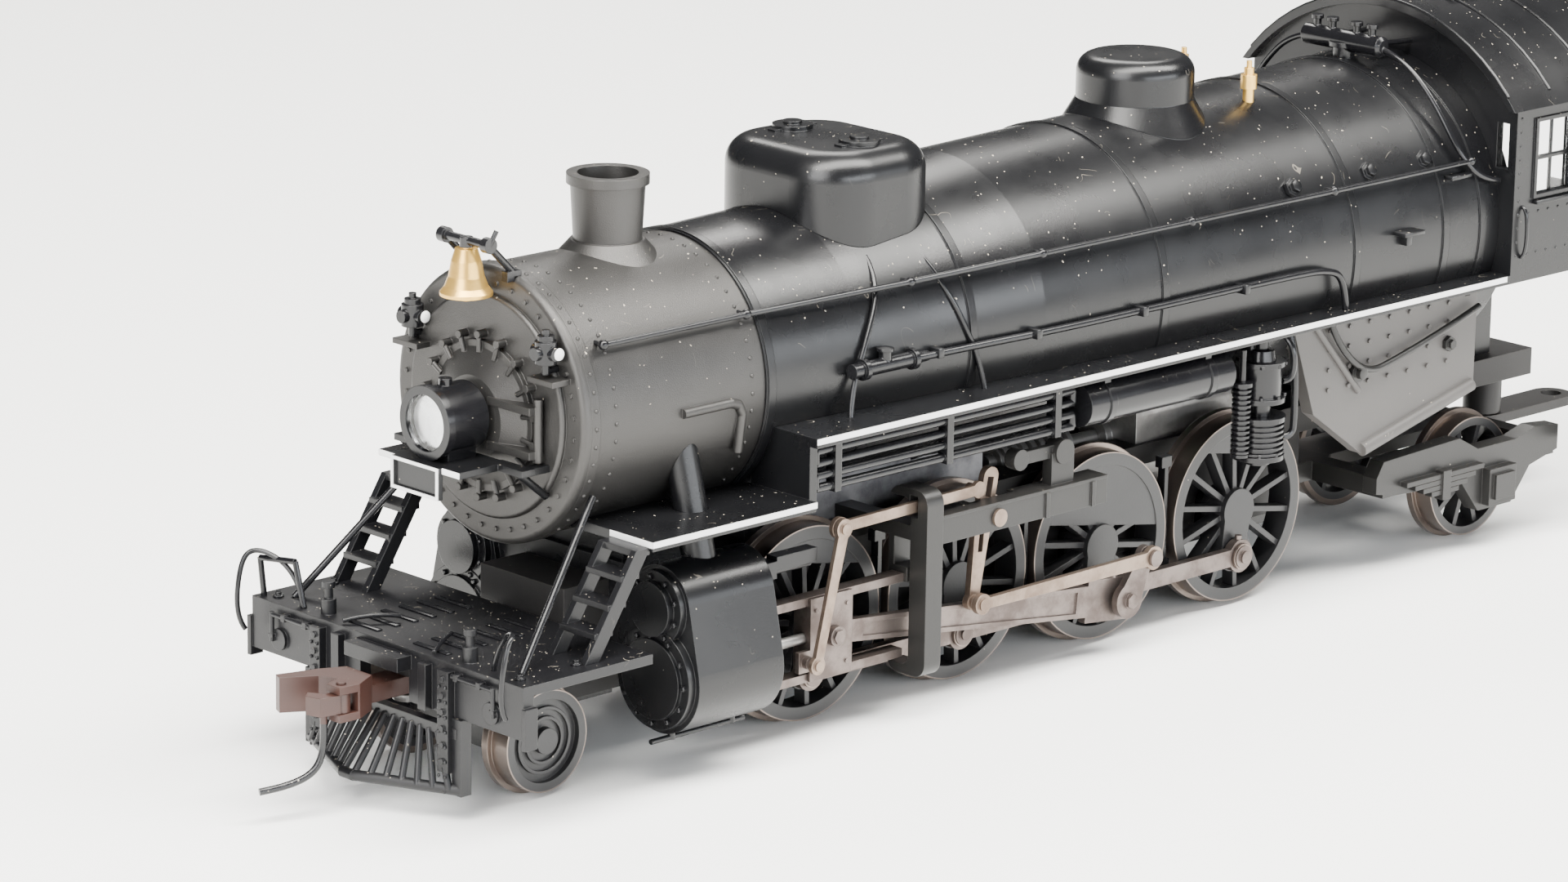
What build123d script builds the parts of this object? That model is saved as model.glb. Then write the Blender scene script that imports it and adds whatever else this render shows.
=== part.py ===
from build123d import *
import os
from math import acos, atan2, cos, degrees, hypot, pi, radians, sin

# A HO scale (1:87.1) steam locomotive of the 2-8-2 wheel arrangement.
# Millimetres. The front points along -X, the left side along -Y, +Z is up.
# z = 0 is the bottom of the wheel flanges, which is what the model stands on.

# ---------------------------------------------------------------- driving dimensions
# running gear
flange_depth = 0.5
rail_z = flange_depth
wheel_back = 7.2
wheel_width = 2.8
flange_width = 0.75
driver_dia = 18.4
driver_spacing = 19.54
lead_dia = 9.4
trailing_dia = 12.4
lead_distance = 31.8
trailing_distance = 35.7
axle_dia = 2.4
crank_throw = 4.37
crank_angle = -100.0
crankpin_dia = 1.5
running_fit = 0.08

# distances from the centre plane to the layers of the rods
side_rod_in, side_rod_out = 10.5, 11.4
main_rod_in, main_rod_out = 12.6, 13.5
return_crank_in, return_crank_out = 14.0, 14.7
eccentric_rod_in, eccentric_rod_out = 15.1, 15.7
lever_in, lever_out = 15.3, 15.75
radius_rod_in, radius_rod_out = 14.7, 15.2
link_in, link_out = 13.75, 14.45

# places along the engine
first_driver_x = -33.088
front_x = first_driver_x - 42.0
smokebox_front_x = first_driver_x - 29.0
smokebox_rear_x = first_driver_x - 8.0
cone_end_x = first_driver_x + 26.0
dome_course_x = first_driver_x + 66.0
cab_front_x = first_driver_x + 90.0
cab_rear_x = first_driver_x + 110.0
cylinder_front_x = first_driver_x - 22.0
cylinder_rear_x = first_driver_x - 10.3

# heights
axle_z = rail_z + driver_dia / 2
boiler_z = rail_z + 33.0
frame_top = 17.0
frame_bottom = 6.6
deck_z = rail_z + 13.7
platform_z = rail_z + 23.5
board_z = rail_z + 29.3
board_thick = 0.9
coupler_z = rail_z + 9.9

# shells
smokebox_r = 12.3
boiler_r_front = 12.5
boiler_r_cone = 14.4
boiler_r_dome = 15.2
boiler_r_rear = 15.8
shell_wall = 1.3
board_half = 17.5
deck_half = 18.4
cylinder_y = (main_rod_in + main_rod_out) / 2
cylinder_r = 5.2
valve_r = 3.8
valve_rise = 6.5
frame_half = 5.6

# ---------------------------------------------------------------- derived places
driver_x = [first_driver_x + i * driver_spacing for i in range(4)]
main_x = driver_x[2]
lead_x = first_driver_x - lead_distance
trailing_x = driver_x[3] + trailing_distance
wheel_face = wheel_back + wheel_width
eccentric_throw = 1.5
link_foot = (first_driver_x + 17.2, rail_z + 8.9)
link_pivot = (first_driver_x + 18.4, rail_z + 17.2)
lever_top = (first_driver_x - 1.1, rail_z + 19.6)
gear_teeth = 24
gear_r = 5.0
worm_r = 1.9
worm_z = axle_z + gear_r + worm_r + 0.25


def crank_xz(x, side, throw=crank_throw, lead=0.0):
    """Centre of a crankpin on the axle at x; the right side is a quarter turn behind the left."""
    turn = radians(crank_angle + lead + (0.0 if side < 0 else 90.0))
    return x + throw * cos(turn), axle_z + throw * sin(turn)


# ---------------------------------------------------------------- shapes used again and again
def block(x0, x1, y0, y1, z0, z1, mode=Mode.ADD):
    """A box between two corners."""
    with Locations(((x0 + x1) / 2, (y0 + y1) / 2, (z0 + z1) / 2)):
        Box(abs(x1 - x0), abs(y1 - y0), abs(z1 - z0), mode=mode)


def bar_x(x0, x1, y, z, radius, mode=Mode.ADD):
    """A round bar along X."""
    with Locations(Location(((x0 + x1) / 2, y, z), (0, 90, 0))):
        Cylinder(radius, abs(x1 - x0), mode=mode)


def bar_y(x, z, y0, y1, radius, mode=Mode.ADD):
    """A round bar along Y."""
    with Locations(Location((x, (y0 + y1) / 2, z), (90, 0, 0))):
        Cylinder(radius, abs(y1 - y0), mode=mode)


def bar_z(x, y, z0, z1, radius, mode=Mode.ADD):
    """A round bar along Z."""
    with Locations((x, y, (z0 + z1) / 2)):
        Cylinder(radius, abs(z1 - z0), mode=mode)


def bar_between(a, b, radius, mode=Mode.ADD):
    """A round bar from point a to point b."""
    start, end = Vector(*a), Vector(*b)
    run = end - start
    with BuildSketch(Plane(origin=start, z_dir=run)) as section:
        Circle(radius)
    extrude(section.sketch, amount=run.length, mode=mode)


def side_plane(y, x=0.0, z=0.0):
    """A plane facing -Y at the distance y, with its own X along +X and its own Y up."""
    return Plane(origin=(x, y, z), x_dir=(1, 0, 0), z_dir=(0, -1, 0))


def outer_plane(side, y_in, y_out, x=0.0, z=0.0):
    """The side plane from which a layer y_in to y_out on one side is extruded towards -Y."""
    return side_plane(-y_in if side < 0 else y_out, x, z)


def strap(a, b, half_a, half_b):
    """A tapered flat bar in a side plane from a to b, drawn in the active sketch."""
    run = hypot(b[0] - a[0], b[1] - a[1])
    nx, nz = -(b[1] - a[1]) / run, (b[0] - a[0]) / run
    points = [
        (a[0] + nx * half_a, a[1] + nz * half_a),
        (b[0] + nx * half_b, b[1] + nz * half_b),
        (b[0] - nx * half_b, b[1] - nz * half_b),
        (a[0] - nx * half_a, a[1] - nz * half_a),
    ]
    with BuildLine() as outline:
        Polyline(*points, close=True)
    make_face(outline.edges())


def sqrt_half(radius, rise):
    """Half width of a circle of the given radius at a distance from its centre."""
    return (radius * radius - rise * rise) ** 0.5


def finish(builder, name):
    """Label a finished piece and write its file."""
    builder.part.label = name
    export_step(builder.part, "parts/" + name + ".step")


# ---------------------------------------------------------------- wheels
def plain_wheel_rim(x, z, tread_r, side, rim):
    """Tyre and flange of one wheel, in the active part."""
    flange_r = tread_r + flange_depth
    face = outer_plane(side, wheel_back, wheel_face, x, z)
    with BuildSketch(face) as tyre:
        Circle(tread_r)
        Circle(tread_r - rim, mode=Mode.SUBTRACT)
    extrude(tyre.sketch, amount=wheel_width)
    with BuildSketch(outer_plane(side, wheel_back, wheel_back + flange_width, x, z)) as flange:
        Circle(flange_r)
        Circle(tread_r - rim, mode=Mode.SUBTRACT)
    extrude(flange.sketch, amount=flange_width)


def spoke_fan(x, z, side, count, inner_r, outer_r, width, y_in, y_out, start=0.0):
    """A ring of spokes in the active part."""
    with BuildSketch(outer_plane(side, y_in, y_out, x, z)) as fan:
        with PolarLocations((inner_r + outer_r) / 2, count, start_angle=start):
            Rectangle(outer_r - inner_r, width)
    extrude(fan.sketch, amount=y_out - y_in)


driver_spokes = 14
spoke_width = 0.55


def driving_wheel(x, side, weight_reach):
    """One spoked driving wheel with its crank boss, counterweight and crankpin."""
    tread_r = driver_dia / 2
    rim = 1.3
    hub_face = wheel_face + 0.3
    plain_wheel_rim(x, axle_z, tread_r, side, rim)
    pin_x, pin_z = crank_xz(x, side)
    angle = degrees(atan2(pin_z - axle_z, pin_x - x))
    first_spoke = angle + 180.0 / driver_spokes
    spoke_fan(x, axle_z, side, driver_spokes, 1.6, tread_r - rim + 0.15, spoke_width, wheel_back + 1.1,
              wheel_face - 0.3, first_spoke)
    # hub and crank boss
    with BuildSketch(outer_plane(side, wheel_back, hub_face, x, axle_z)) as hub:
        Circle(2.15)
        with Locations((pin_x - x, pin_z - axle_z)):
            Circle(1.75)
        strap((0, 0), (pin_x - x, pin_z - axle_z), 1.95, 1.6)
    extrude(hub.sketch, amount=hub_face - wheel_back)
    # counterweight opposite the crank: the part of the disc beyond a chord
    with BuildSketch(outer_plane(side, wheel_back + 0.8, wheel_face - 0.1, x, axle_z)) as counterweight:
        Circle(tread_r - rim + 0.1)
        turn = angle + 180
        centre = weight_reach - 10.0
        with Locations(Location((centre * cos(radians(turn)), centre * sin(radians(turn))), turn)):
            Rectangle(20, 24, mode=Mode.SUBTRACT)
    extrude(counterweight.sketch, amount=wheel_width - 0.9)
    # crankpin with its shoulder
    outer = return_crank_in if x == main_x else side_rod_out + 0.35
    ends = (-outer, -wheel_face) if side < 0 else (wheel_face, outer)
    bar_y(pin_x, pin_z, ends[0], ends[1], crankpin_dia / 2)
    collar = side_rod_in - 0.05
    ends = (-collar, -wheel_face) if side < 0 else (wheel_face, collar)
    bar_y(pin_x, pin_z, ends[0], ends[1], 1.2)
    if x != main_x:
        cap = (side_rod_out + 0.05, side_rod_out + 0.35)
        ends = (-cap[1], -cap[0]) if side < 0 else cap
        bar_y(pin_x, pin_z, ends[0], ends[1], 1.3)


def make_driver_set(index):
    """An axle with its two driving wheels pressed on."""
    x = driver_x[index]
    reach = 2.0 if index == 2 else 5.6
    with BuildPart() as wheels:
        bar_y(x, axle_z, -wheel_face - 0.3, wheel_face + 0.3, axle_dia / 2)
        driving_wheel(x, -1, reach)
        driving_wheel(x, 1, reach)
    finish(wheels, "driver_set_" + str(index + 1))


def make_disc_wheelset(name, x, z, tread_r, spokes, axle_half):
    """A carrying axle with two small wheels, spoked or solid."""
    with BuildPart() as wheels:
        bar_y(x, z, -axle_half, axle_half, 0.75)
        for side in (-1, 1):
            plain_wheel_rim(x, z, tread_r, side, 0.9)
            hub_half = 1.7 if spokes else 1.2
            with BuildSketch(outer_plane(side, wheel_back + 0.2, wheel_face + 0.1, x, z)):
                Circle(hub_half)
            extrude(amount=wheel_width - 0.1)
            if spokes:
                spoke_fan(x, z, side, spokes, 1.2, tread_r - 0.8, 0.6, wheel_back + 0.9, wheel_face - 0.4)
                continue
            with BuildSketch(outer_plane(side, wheel_back + 0.6, wheel_face - 0.6, x, z)):
                Circle(tread_r - 0.8)
            extrude(amount=wheel_width - 1.2)
            # rings turned on the face of the disc
            for ring_r in (2.2, 3.1):
                with BuildSketch(outer_plane(side, wheel_face - 0.6, wheel_face - 0.3, x, z)):
                    Circle(ring_r)
                    Circle(ring_r - 0.3, mode=Mode.SUBTRACT)
                extrude(amount=0.3)
    finish(wheels, name)


def make_drive_gear():
    """The gear pressed on the main axle, bored to the axle."""
    half = 1.2
    tooth_h = 0.5
    with BuildPart() as gear:
        with BuildSketch(side_plane(half, main_x, axle_z)):
            Circle(gear_r - tooth_h)
            with PolarLocations(gear_r - tooth_h / 2 - 0.05, gear_teeth):
                Rectangle(tooth_h + 0.1, 0.6)
            Circle(axle_dia / 2, mode=Mode.SUBTRACT)
        extrude(amount=2 * half)
        for hub_y in (half, -half - 0.6):
            with BuildSketch(side_plane(hub_y + 0.6, main_x, axle_z)):
                Circle(2.2)
                Circle(axle_dia / 2, mode=Mode.SUBTRACT)
            extrude(amount=0.6)
    finish(gear, "drive_gear")


# ---------------------------------------------------------------- chassis and drive
keeper_thick = 1.0
keeper_half = 5.2
frame_front_x = first_driver_x - 26.0
frame_rear_x = driver_x[3] + 14.0
tail_bottom = 14.2
tail_rear_x = cab_rear_x - 1.0
nose_bottom = 11.0
nose_half = 4.5
truck_pivot_x = first_driver_x - 19.0
trailing_pivot_x = driver_x[3] + 18.0
drawbar_x = driver_x[3] + 49.5
drawbar_z = 8.2
drawbar_thick = 1.0
drawbar_pin_r = 1.0
coupler_pivot_x = front_x + 2.6
coupler_half_h = 1.6
pivot_r = 1.2
pivot_gap = 0.1
screw_r = 0.8
screw_head_r = 1.4
screw_x = [first_driver_x - 10.0, driver_x[1] + driver_spacing / 2, driver_x[3] + 11.5]
motor_front_x = main_x + 10.0
motor_rear_x = main_x + 28.0
motor_half = 5.0
shaft_r = 0.75


def make_chassis_frame():
    """Die-cast frame with bearing slots for the axles, a gear well and a motor cradle."""
    slot = axle_dia / 2 + 0.1
    with BuildPart() as frame:
        block(frame_front_x, frame_rear_x, -frame_half, frame_half, frame_bottom, frame_top)
        block(front_x + 1.2, frame_front_x, -nose_half, nose_half, nose_bottom, deck_z - board_thick)
        block(frame_rear_x, tail_rear_x, -frame_half, frame_half, tail_bottom, frame_top)
        for x in driver_x:
            block(x - slot, x + slot, -frame_half, frame_half, frame_bottom, axle_z, Mode.SUBTRACT)
            bar_y(x, axle_z, -frame_half, frame_half, slot, Mode.SUBTRACT)
        well = gear_r + 0.7
        block(main_x - well, main_x + well, -2.1, 2.1, frame_bottom, frame_top, Mode.SUBTRACT)
        block(main_x - well - 2, motor_front_x, -2.4, 2.4, worm_z - worm_r - 0.5, frame_top,
              Mode.SUBTRACT)
        block(motor_front_x, motor_rear_x, -motor_half, motor_half, worm_z - motor_half, frame_top,
              Mode.SUBTRACT)
        rear = motor_rear_x
        block(rear, rear + 2.4, -4.3, 4.3, worm_z - 2.4, frame_top, Mode.SUBTRACT)
        # bores for the trucks' pivot pins and for the screws
        bar_z(truck_pivot_x, 0, frame_bottom, frame_bottom + 4, pivot_r + pivot_gap, Mode.SUBTRACT)
        bar_z(trailing_pivot_x, 0, tail_bottom, frame_top, pivot_r + pivot_gap, Mode.SUBTRACT)
        for x in screw_x:
            bar_z(x, 0, frame_bottom, frame_bottom + 4, screw_r, Mode.SUBTRACT)
        # post and pin of the drawbar, and the coupler's pin
        bar_z(drawbar_x, 0, drawbar_z + drawbar_thick + 0.1, tail_bottom, 2.0)
        bar_z(drawbar_x, 0, drawbar_z - 0.1, tail_bottom, drawbar_pin_r)
        bar_z(coupler_pivot_x, 0, coupler_z - coupler_half_h + 0.2, nose_bottom, 0.8)
        # windows cast between the axles
        for i in range(3):
            middle = driver_x[i] + driver_spacing / 2
            if i != 1:
                block(middle - 4.5, middle + 4.5, -frame_half, -frame_half + 1.5, axle_z + 1, 15,
                      Mode.SUBTRACT)
                block(middle - 4.5, middle + 4.5, frame_half - 1.5, frame_half, axle_z + 1, 15,
                      Mode.SUBTRACT)
    finish(frame, "chassis_frame")


def make_keeper_plate():
    """Plastic plate that closes the axle slots, moulded with the brake beams, hangers and shoes."""
    top = frame_bottom
    bottom = top - keeper_thick
    with BuildPart() as plate:
        block(first_driver_x - 12.5, driver_x[3] + 13.5, -keeper_half, keeper_half, bottom, top)
        block(main_x - gear_r - 0.7, main_x + gear_r + 0.7, -1.6, 1.6, bottom, top, Mode.SUBTRACT)
        for i in range(3):
            middle = driver_x[i] + driver_spacing / 2
            block(middle - 0.5, middle + 0.5, -9.4, 9.4, bottom, bottom + 0.7)
            for side in (-1, 1):
                block(middle - 0.25, middle + 0.25, side * 8.5, side * 9.4, bottom, frame_top - 0.3)
                block(middle - 0.75, middle + 0.75, side * 8.2, side * 9.4, bottom - 1.6, bottom + 0.7)
                block(middle - 0.7, middle + 0.7, side * 8.5, side * 9.4, frame_top - 1.4,
                      frame_top - 0.3)
        for x in screw_x:
            bar_z(x, 0, bottom, top, screw_r, Mode.SUBTRACT)
    finish(plate, "keeper_plate")


def make_shell_screws():
    """Screws that hold the keeper plate to the frame, and the drawbar's retaining screw."""
    bottom = frame_bottom - keeper_thick
    with BuildPart() as screws:
        for x in screw_x:
            bar_z(x, 0, bottom, frame_bottom + 4, screw_r)
            bar_z(x, 0, bottom - 0.6, bottom, screw_head_r)
            block(x - 1.1, x + 1.1, -0.15, 0.15, bottom - 0.6, bottom - 0.35, Mode.SUBTRACT)
        bar_z(drawbar_x, 0, drawbar_z - 0.8, drawbar_z - 0.1, 1.6)
        block(drawbar_x - 1.2, drawbar_x + 1.2, -0.18, 0.18, drawbar_z - 0.8, drawbar_z - 0.5,
              Mode.SUBTRACT)
        head_top = coupler_z - coupler_half_h + 0.2
        bar_z(coupler_pivot_x, 0, head_top - 0.6, head_top, 1.3)
        block(coupler_pivot_x - 1, coupler_pivot_x + 1, -0.15, 0.15, head_top - 0.6, head_top - 0.35,
              Mode.SUBTRACT)
    finish(screws, "screws")


def make_motor():
    """Can motor: a hollow case with end plates, bearings and terminals."""
    wall = 0.7
    with BuildPart() as motor:
        with BuildSketch(Plane(origin=(motor_front_x, 0, worm_z), x_dir=(0, 1, 0), z_dir=(1, 0, 0))):
            RectangleRounded(2 * motor_half, 2 * motor_half, 2.2)
        extrude(amount=motor_rear_x - motor_front_x)
        bar_x(motor_front_x + wall, motor_rear_x - wall, 0, worm_z, motor_half - wall, Mode.SUBTRACT)
        bar_x(motor_front_x - 0.8, motor_front_x, 0, worm_z, 1.9)
        bar_x(motor_rear_x, motor_rear_x + 0.8, 0, worm_z, 1.9)
        bar_x(motor_front_x - 0.8, motor_rear_x + 0.8, 0, worm_z, shaft_r + running_fit, Mode.SUBTRACT)
        for side in (-1, 1):
            block(motor_rear_x, motor_rear_x + 1.6, side * 3.4, side * 3.9, worm_z - 0.8, worm_z + 0.8)
    finish(motor, "motor")


def make_motor_rotor():
    """Wound rotor on its shaft with the commutator and the worm."""
    worm_half = 5.0
    pitch = pi * (2 * gear_r - 0.5) / gear_teeth
    with BuildPart() as rotor:
        bar_x(main_x - worm_half - 1, motor_rear_x + 1.4, 0, worm_z, shaft_r)
        for turn in range(3):
            angle = turn * 120.0
            with BuildSketch(Plane(origin=(motor_front_x + 3.5, 0, worm_z), x_dir=(0, 1, 0),
                                   z_dir=(1, 0, 0))):
                with Locations(Location((0, 0), angle)):
                    with Locations((0, 2.6)):
                        Rectangle(4.2, 1.1)
                    with Locations((0, 1.3)):
                        Rectangle(1.4, 2.6)
            extrude(amount=9.0)
        bar_x(motor_front_x + 13.2, motor_front_x + 15.8, 0, worm_z, 1.5)
        bar_x(main_x - worm_half, main_x + worm_half, 0, worm_z, worm_r - 0.5)
        rings = int(2 * worm_half / pitch)
        for i in range(rings):
            x = main_x - worm_half + (i + 0.5) * pitch
            bar_x(x - 0.3, x + 0.3, 0, worm_z, worm_r)
    finish(rotor, "motor_rotor")


def make_ballast_weight():
    """Cast weight on the frame, rounded to lie inside the boiler."""
    x0, x1 = first_driver_x - 5.0, main_x - 9.0
    with BuildPart() as weight:
        bar_x(x0, x1, 0, boiler_z, 9.2)
        block(x0, x1, -10, 10, boiler_z - 10, boiler_z - 5.5, Mode.SUBTRACT)
        block(x0 + 2, x1 - 2, -4.6, 4.6, frame_top, boiler_z - 5.5)
    finish(weight, "ballast_weight")


def make_circuit_board():
    """Small circuit board on top of the motor, with its capacitor, chips and solder pads."""
    bottom = worm_z + motor_half
    with BuildPart() as board:
        block(motor_front_x - 1, motor_rear_x + 3, -4.6, 4.6, bottom, bottom + 0.8)
        block(motor_front_x + 1, motor_front_x + 5, -2, 2, bottom + 0.8, bottom + 1.8)
        bar_z(motor_front_x + 10, 0, bottom + 0.8, bottom + 3.2, 1.6)
        for i in range(4):
            block(motor_rear_x - 3, motor_rear_x - 1.4, -3.6 + 2 * i, -2.6 + 2 * i, bottom + 0.8,
                  bottom + 1.1)
    finish(board, "circuit_board")


# ---------------------------------------------------------------- boiler and smokebox
def boiler_stations():
    """Places, radii and axis heights of the boiler's courses; the underside stays nearly level."""
    rear_x = cab_front_x + 2.0
    return [
        (smokebox_rear_x, boiler_r_front, boiler_z),
        (first_driver_x + 4.0, boiler_r_front + 0.4, boiler_z),
        (cone_end_x, boiler_r_cone, boiler_z + 0.6),
        (dome_course_x, boiler_r_dome, boiler_z + 0.9),
        (rear_x, boiler_r_rear, boiler_z + 1.2),
    ]


def boiler_solid(inset=0.0, mode=Mode.ADD):
    """The boiler's outside as one solid, or the same reduced by an inset."""
    stations = boiler_stations()
    for first, second in zip(stations[:-1], stations[1:]):
        rings = []
        for x, radius, z in (first, second):
            with BuildSketch(Plane(origin=(x, 0, z), x_dir=(0, 1, 0), z_dir=(1, 0, 0))) as ring:
                Circle(radius - inset)
            rings.append(ring.sketch)
        loft(rings, ruled=True, mode=mode)


def boiler_at(x):
    """Radius and axis height of the boiler at x."""
    stations = boiler_stations()
    for first, second in zip(stations[:-1], stations[1:]):
        if first[0] <= x <= second[0]:
            share = (x - first[0]) / (second[0] - first[0])
            radius = first[1] + share * (second[1] - first[1])
            return radius, first[2] + share * (second[2] - first[2])
    last = stations[-1]
    return last[1], last[2]


band_x = [smokebox_rear_x + 0.6, first_driver_x + 17.0, first_driver_x + 42.0, first_driver_x + 69.0,
          first_driver_x + 82.0, first_driver_x + 87.5]
band_half = 0.45
band_rise = 0.16


def boiler_bands(mode=Mode.ADD):
    """The raised bands round the boiler, as full discs."""
    for x in band_x:
        radius, z = boiler_at(x)
        bar_x(x - band_half, x + band_half, 0, z, radius + band_rise, mode)


def cut_to_boiler():
    """Cut the active part back to the boiler's outside, bands included."""
    boiler_solid(0.0, Mode.SUBTRACT)
    boiler_bands(Mode.SUBTRACT)


def cut_to_smokebox():
    """Cut the active part back to the smokebox's outside, front ring included."""
    bar_x(smokebox_front_x, smokebox_rear_x, 0, boiler_z, smokebox_r, Mode.SUBTRACT)
    bar_x(smokebox_front_x, smokebox_front_x + 1.0, 0, boiler_z, smokebox_r + 0.3, Mode.SUBTRACT)


def make_boiler_shell():
    """Moulded boiler with bands, open underneath for the frame and motor."""
    with BuildPart() as shell:
        boiler_solid()
        boiler_bands()
        boiler_solid(shell_wall, Mode.SUBTRACT)
        radius, z = boiler_at(cab_front_x + 2.0)
        bar_x(cab_front_x + 0.8, cab_front_x + 2.0, 0, z, radius - 0.4)
        block(first_driver_x - 6.0, cab_front_x + 3, -6.4, 6.4, 15, boiler_z - 7.5, Mode.SUBTRACT)
    finish(shell, "boiler_shell")


stack_x = first_driver_x - 16.0
stack_top = rail_z + 52.0
stack_bore = 2.75


def stack_cone(low, high, low_r, high_r):
    """A conical length of the stack between two heights, in the active part."""
    rings = []
    for z, radius in ((low, low_r), (high, high_r)):
        with BuildSketch(Plane(origin=(stack_x, 0, z), x_dir=(1, 0, 0), z_dir=(0, 0, 1))) as ring:
            Circle(radius)
        rings.append(ring.sketch)
    loft(rings, ruled=True)


def blower_elbow():
    """The blower pipe on the smokebox's left side, level at first and then bent downwards."""
    x = first_driver_x
    y = -sqrt_half(smokebox_r, 0.4) - 0.1
    bends = [(x - 18.1, y, boiler_z - 0.4), (x - 12.3, y, boiler_z - 0.4), (x - 11.4, y, boiler_z - 0.7),
             (x - 10.9, y + 0.05, boiler_z - 1.6), (x - 10.9, y + 0.6, boiler_z - 5.2)]
    for a, b in zip(bends[:-1], bends[1:]):
        bar_between(a, b, 0.45)
    for place in bends[1:-1]:
        with Locations(place):
            Sphere(0.45)


def make_smokebox():
    """Smokebox barrel and its flared stack, open at the front for the door casting."""
    base_z = boiler_z + smokebox_r
    with BuildPart() as smokebox:
        bar_x(smokebox_front_x, smokebox_rear_x, 0, boiler_z, smokebox_r)
        stack_cone(base_z - 1.0, base_z + 0.7, 4.9, 3.35)
        stack_cone(base_z + 0.7, stack_top - 0.8, 3.1, 3.4)
        bar_z(stack_x, 0, stack_top - 0.9, stack_top, 3.75)
        bar_x(smokebox_front_x, smokebox_rear_x, 0, boiler_z, smokebox_r - shell_wall, Mode.SUBTRACT)
        bar_z(stack_x, 0, base_z + 0.2, stack_top, stack_bore, Mode.SUBTRACT)
        # thick ring round the front edge
        with BuildSketch(Plane(origin=(smokebox_front_x, 0, boiler_z), x_dir=(0, 1, 0), z_dir=(1, 0, 0))):
            Circle(smokebox_r + 0.3)
            Circle(smokebox_r - 0.1, mode=Mode.SUBTRACT)
        extrude(amount=1.0)
        blower_elbow()
    finish(smokebox, "smokebox")


door_z = boiler_z - 0.8
door_r = 6.2
door_dogs = 18
dog_reach = door_r + 1.2
plate_r = 10.2
rim_face_x = smokebox_front_x - 0.9
plate_face_x = rim_face_x - 0.5


def door_dog(turn):
    """One clamp of the smokebox door: a short bar with a round nut at its outer end."""
    y, z = dog_reach * cos(turn), door_z + dog_reach * sin(turn)
    inner_y, inner_z = (door_r - 0.4) * cos(turn), door_z + (door_r - 0.4) * sin(turn)
    x = plate_face_x - 0.7
    bar_between((x, y, z), (x, inner_y, inner_z), 0.24)
    bar_x(x - 0.3, plate_face_x + 0.1, y, z, 0.36)


def make_smokebox_front():
    """Front casting: rivet ring, raised plate, round door with its clamps and hinge, and steps."""
    with BuildPart() as casting:
        bar_x(rim_face_x, smokebox_front_x + 1.5, 0, boiler_z, smokebox_r - shell_wall)
        bar_x(rim_face_x, smokebox_front_x, 0, boiler_z, smokebox_r + 0.3)
        edge = casting.edges().filter_by(GeomType.CIRCLE).group_by(Axis.X)[0]
        fillet(edge, 0.6)
        bar_x(plate_face_x, rim_face_x, 0, boiler_z, plate_r)
        edge = casting.edges().filter_by(GeomType.CIRCLE).group_by(Axis.X)[0]
        fillet(edge, 0.35)
        bar_x(plate_face_x - 0.5, plate_face_x, 0, door_z, door_r + 0.6)
        with Locations(Location((plate_face_x - 1.0, 0, door_z), (0, -90, 0))):
            Cone(door_r, door_r - 2.4, 1.0)
        for i in range(door_dogs):
            door_dog(radians(360.0 * (i + 0.5) / door_dogs))
        # rivets round the front ring
        for i in range(36):
            turn = radians(10.0 * i + 5)
            y, z = 11.2 * cos(turn), boiler_z + 11.2 * sin(turn)
            bar_x(rim_face_x - 0.18, rim_face_x + 0.05, y, z, 0.22)
        # two hinge straps on the left of the door
        face = plate_face_x - 1.7
        for rise in (-2.0, 2.0):
            block(face, plate_face_x - 0.4, -door_r - 1.6, -2.2, door_z + rise - 0.35,
                  door_z + rise + 0.35)
        bar_z(plate_face_x - 0.6, -door_r - 1.5, door_z - 2.7, door_z + 3.0, 0.42)
        # step plates either side above the door
        for side in (-1, 1):
            block(rim_face_x - 2.1, rim_face_x + 0.4, side * 7.4, side * 10.7, boiler_z + 3.9,
                  boiler_z + 4.4)
    finish(casting, "smokebox_front")


sand_dome_x = first_driver_x + 11.0


def make_sand_dome():
    """Sand box dome set across the boiler, with two filler hatches side by side."""
    top = rail_z + 51.6
    length, width = 15.3, 17.5
    with BuildPart() as dome:
        with BuildSketch(Plane.XY.offset(boiler_z + 6.0)):
            with Locations((sand_dome_x, 0)):
                RectangleRounded(length, width, 5.6)
        extrude(amount=top - boiler_z - 6.0)
        edges = dome.faces().sort_by(Axis.Z)[-1].edges()
        fillet(edges, 2.6)
        cut_to_boiler()
        for y in (-4.4, 4.4):
            bar_z(sand_dome_x, y, top - 0.4, top + 0.45, 1.9)
            block(sand_dome_x - 2.7, sand_dome_x + 2.7, y - 0.5, y + 0.5, top - 0.4, top + 0.2)
            bar_z(sand_dome_x, y, top + 0.45, top + 0.75, 0.9)
        # pads for the sand pipes on the rear face
        for drop in (3.2, 4.2):
            bar_x(sand_dome_x + length / 2 - 0.6, sand_dome_x + length / 2 + 0.4, -1.5, top - drop, 0.3)
    finish(dome, "sand_dome")


def make_steam_dome():
    """Round steam dome with a flared base."""
    x = first_driver_x + 52.8
    radius, z = boiler_at(x)
    top = rail_z + 54.0
    dome_r = 5.75
    with BuildPart() as dome:
        with BuildSketch(Plane.XY.offset(z + 8.0)):
            with Locations((x, 0)):
                Circle(dome_r)
        extrude(amount=top - z - 8.0)
        edges = dome.faces().sort_by(Axis.Z)[-1].edges()
        fillet(edges, 1.7)
        with BuildSketch(Plane.XY.offset(z + radius - 3.2)):
            with Locations((x, 0)):
                Circle(8.2)
        with BuildSketch(Plane.XY.offset(z + radius + 1.0)):
            with Locations((x, 0)):
                Circle(dome_r)
        loft(ruled=True)
        cut_to_boiler()
    finish(dome, "steam_dome")


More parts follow.
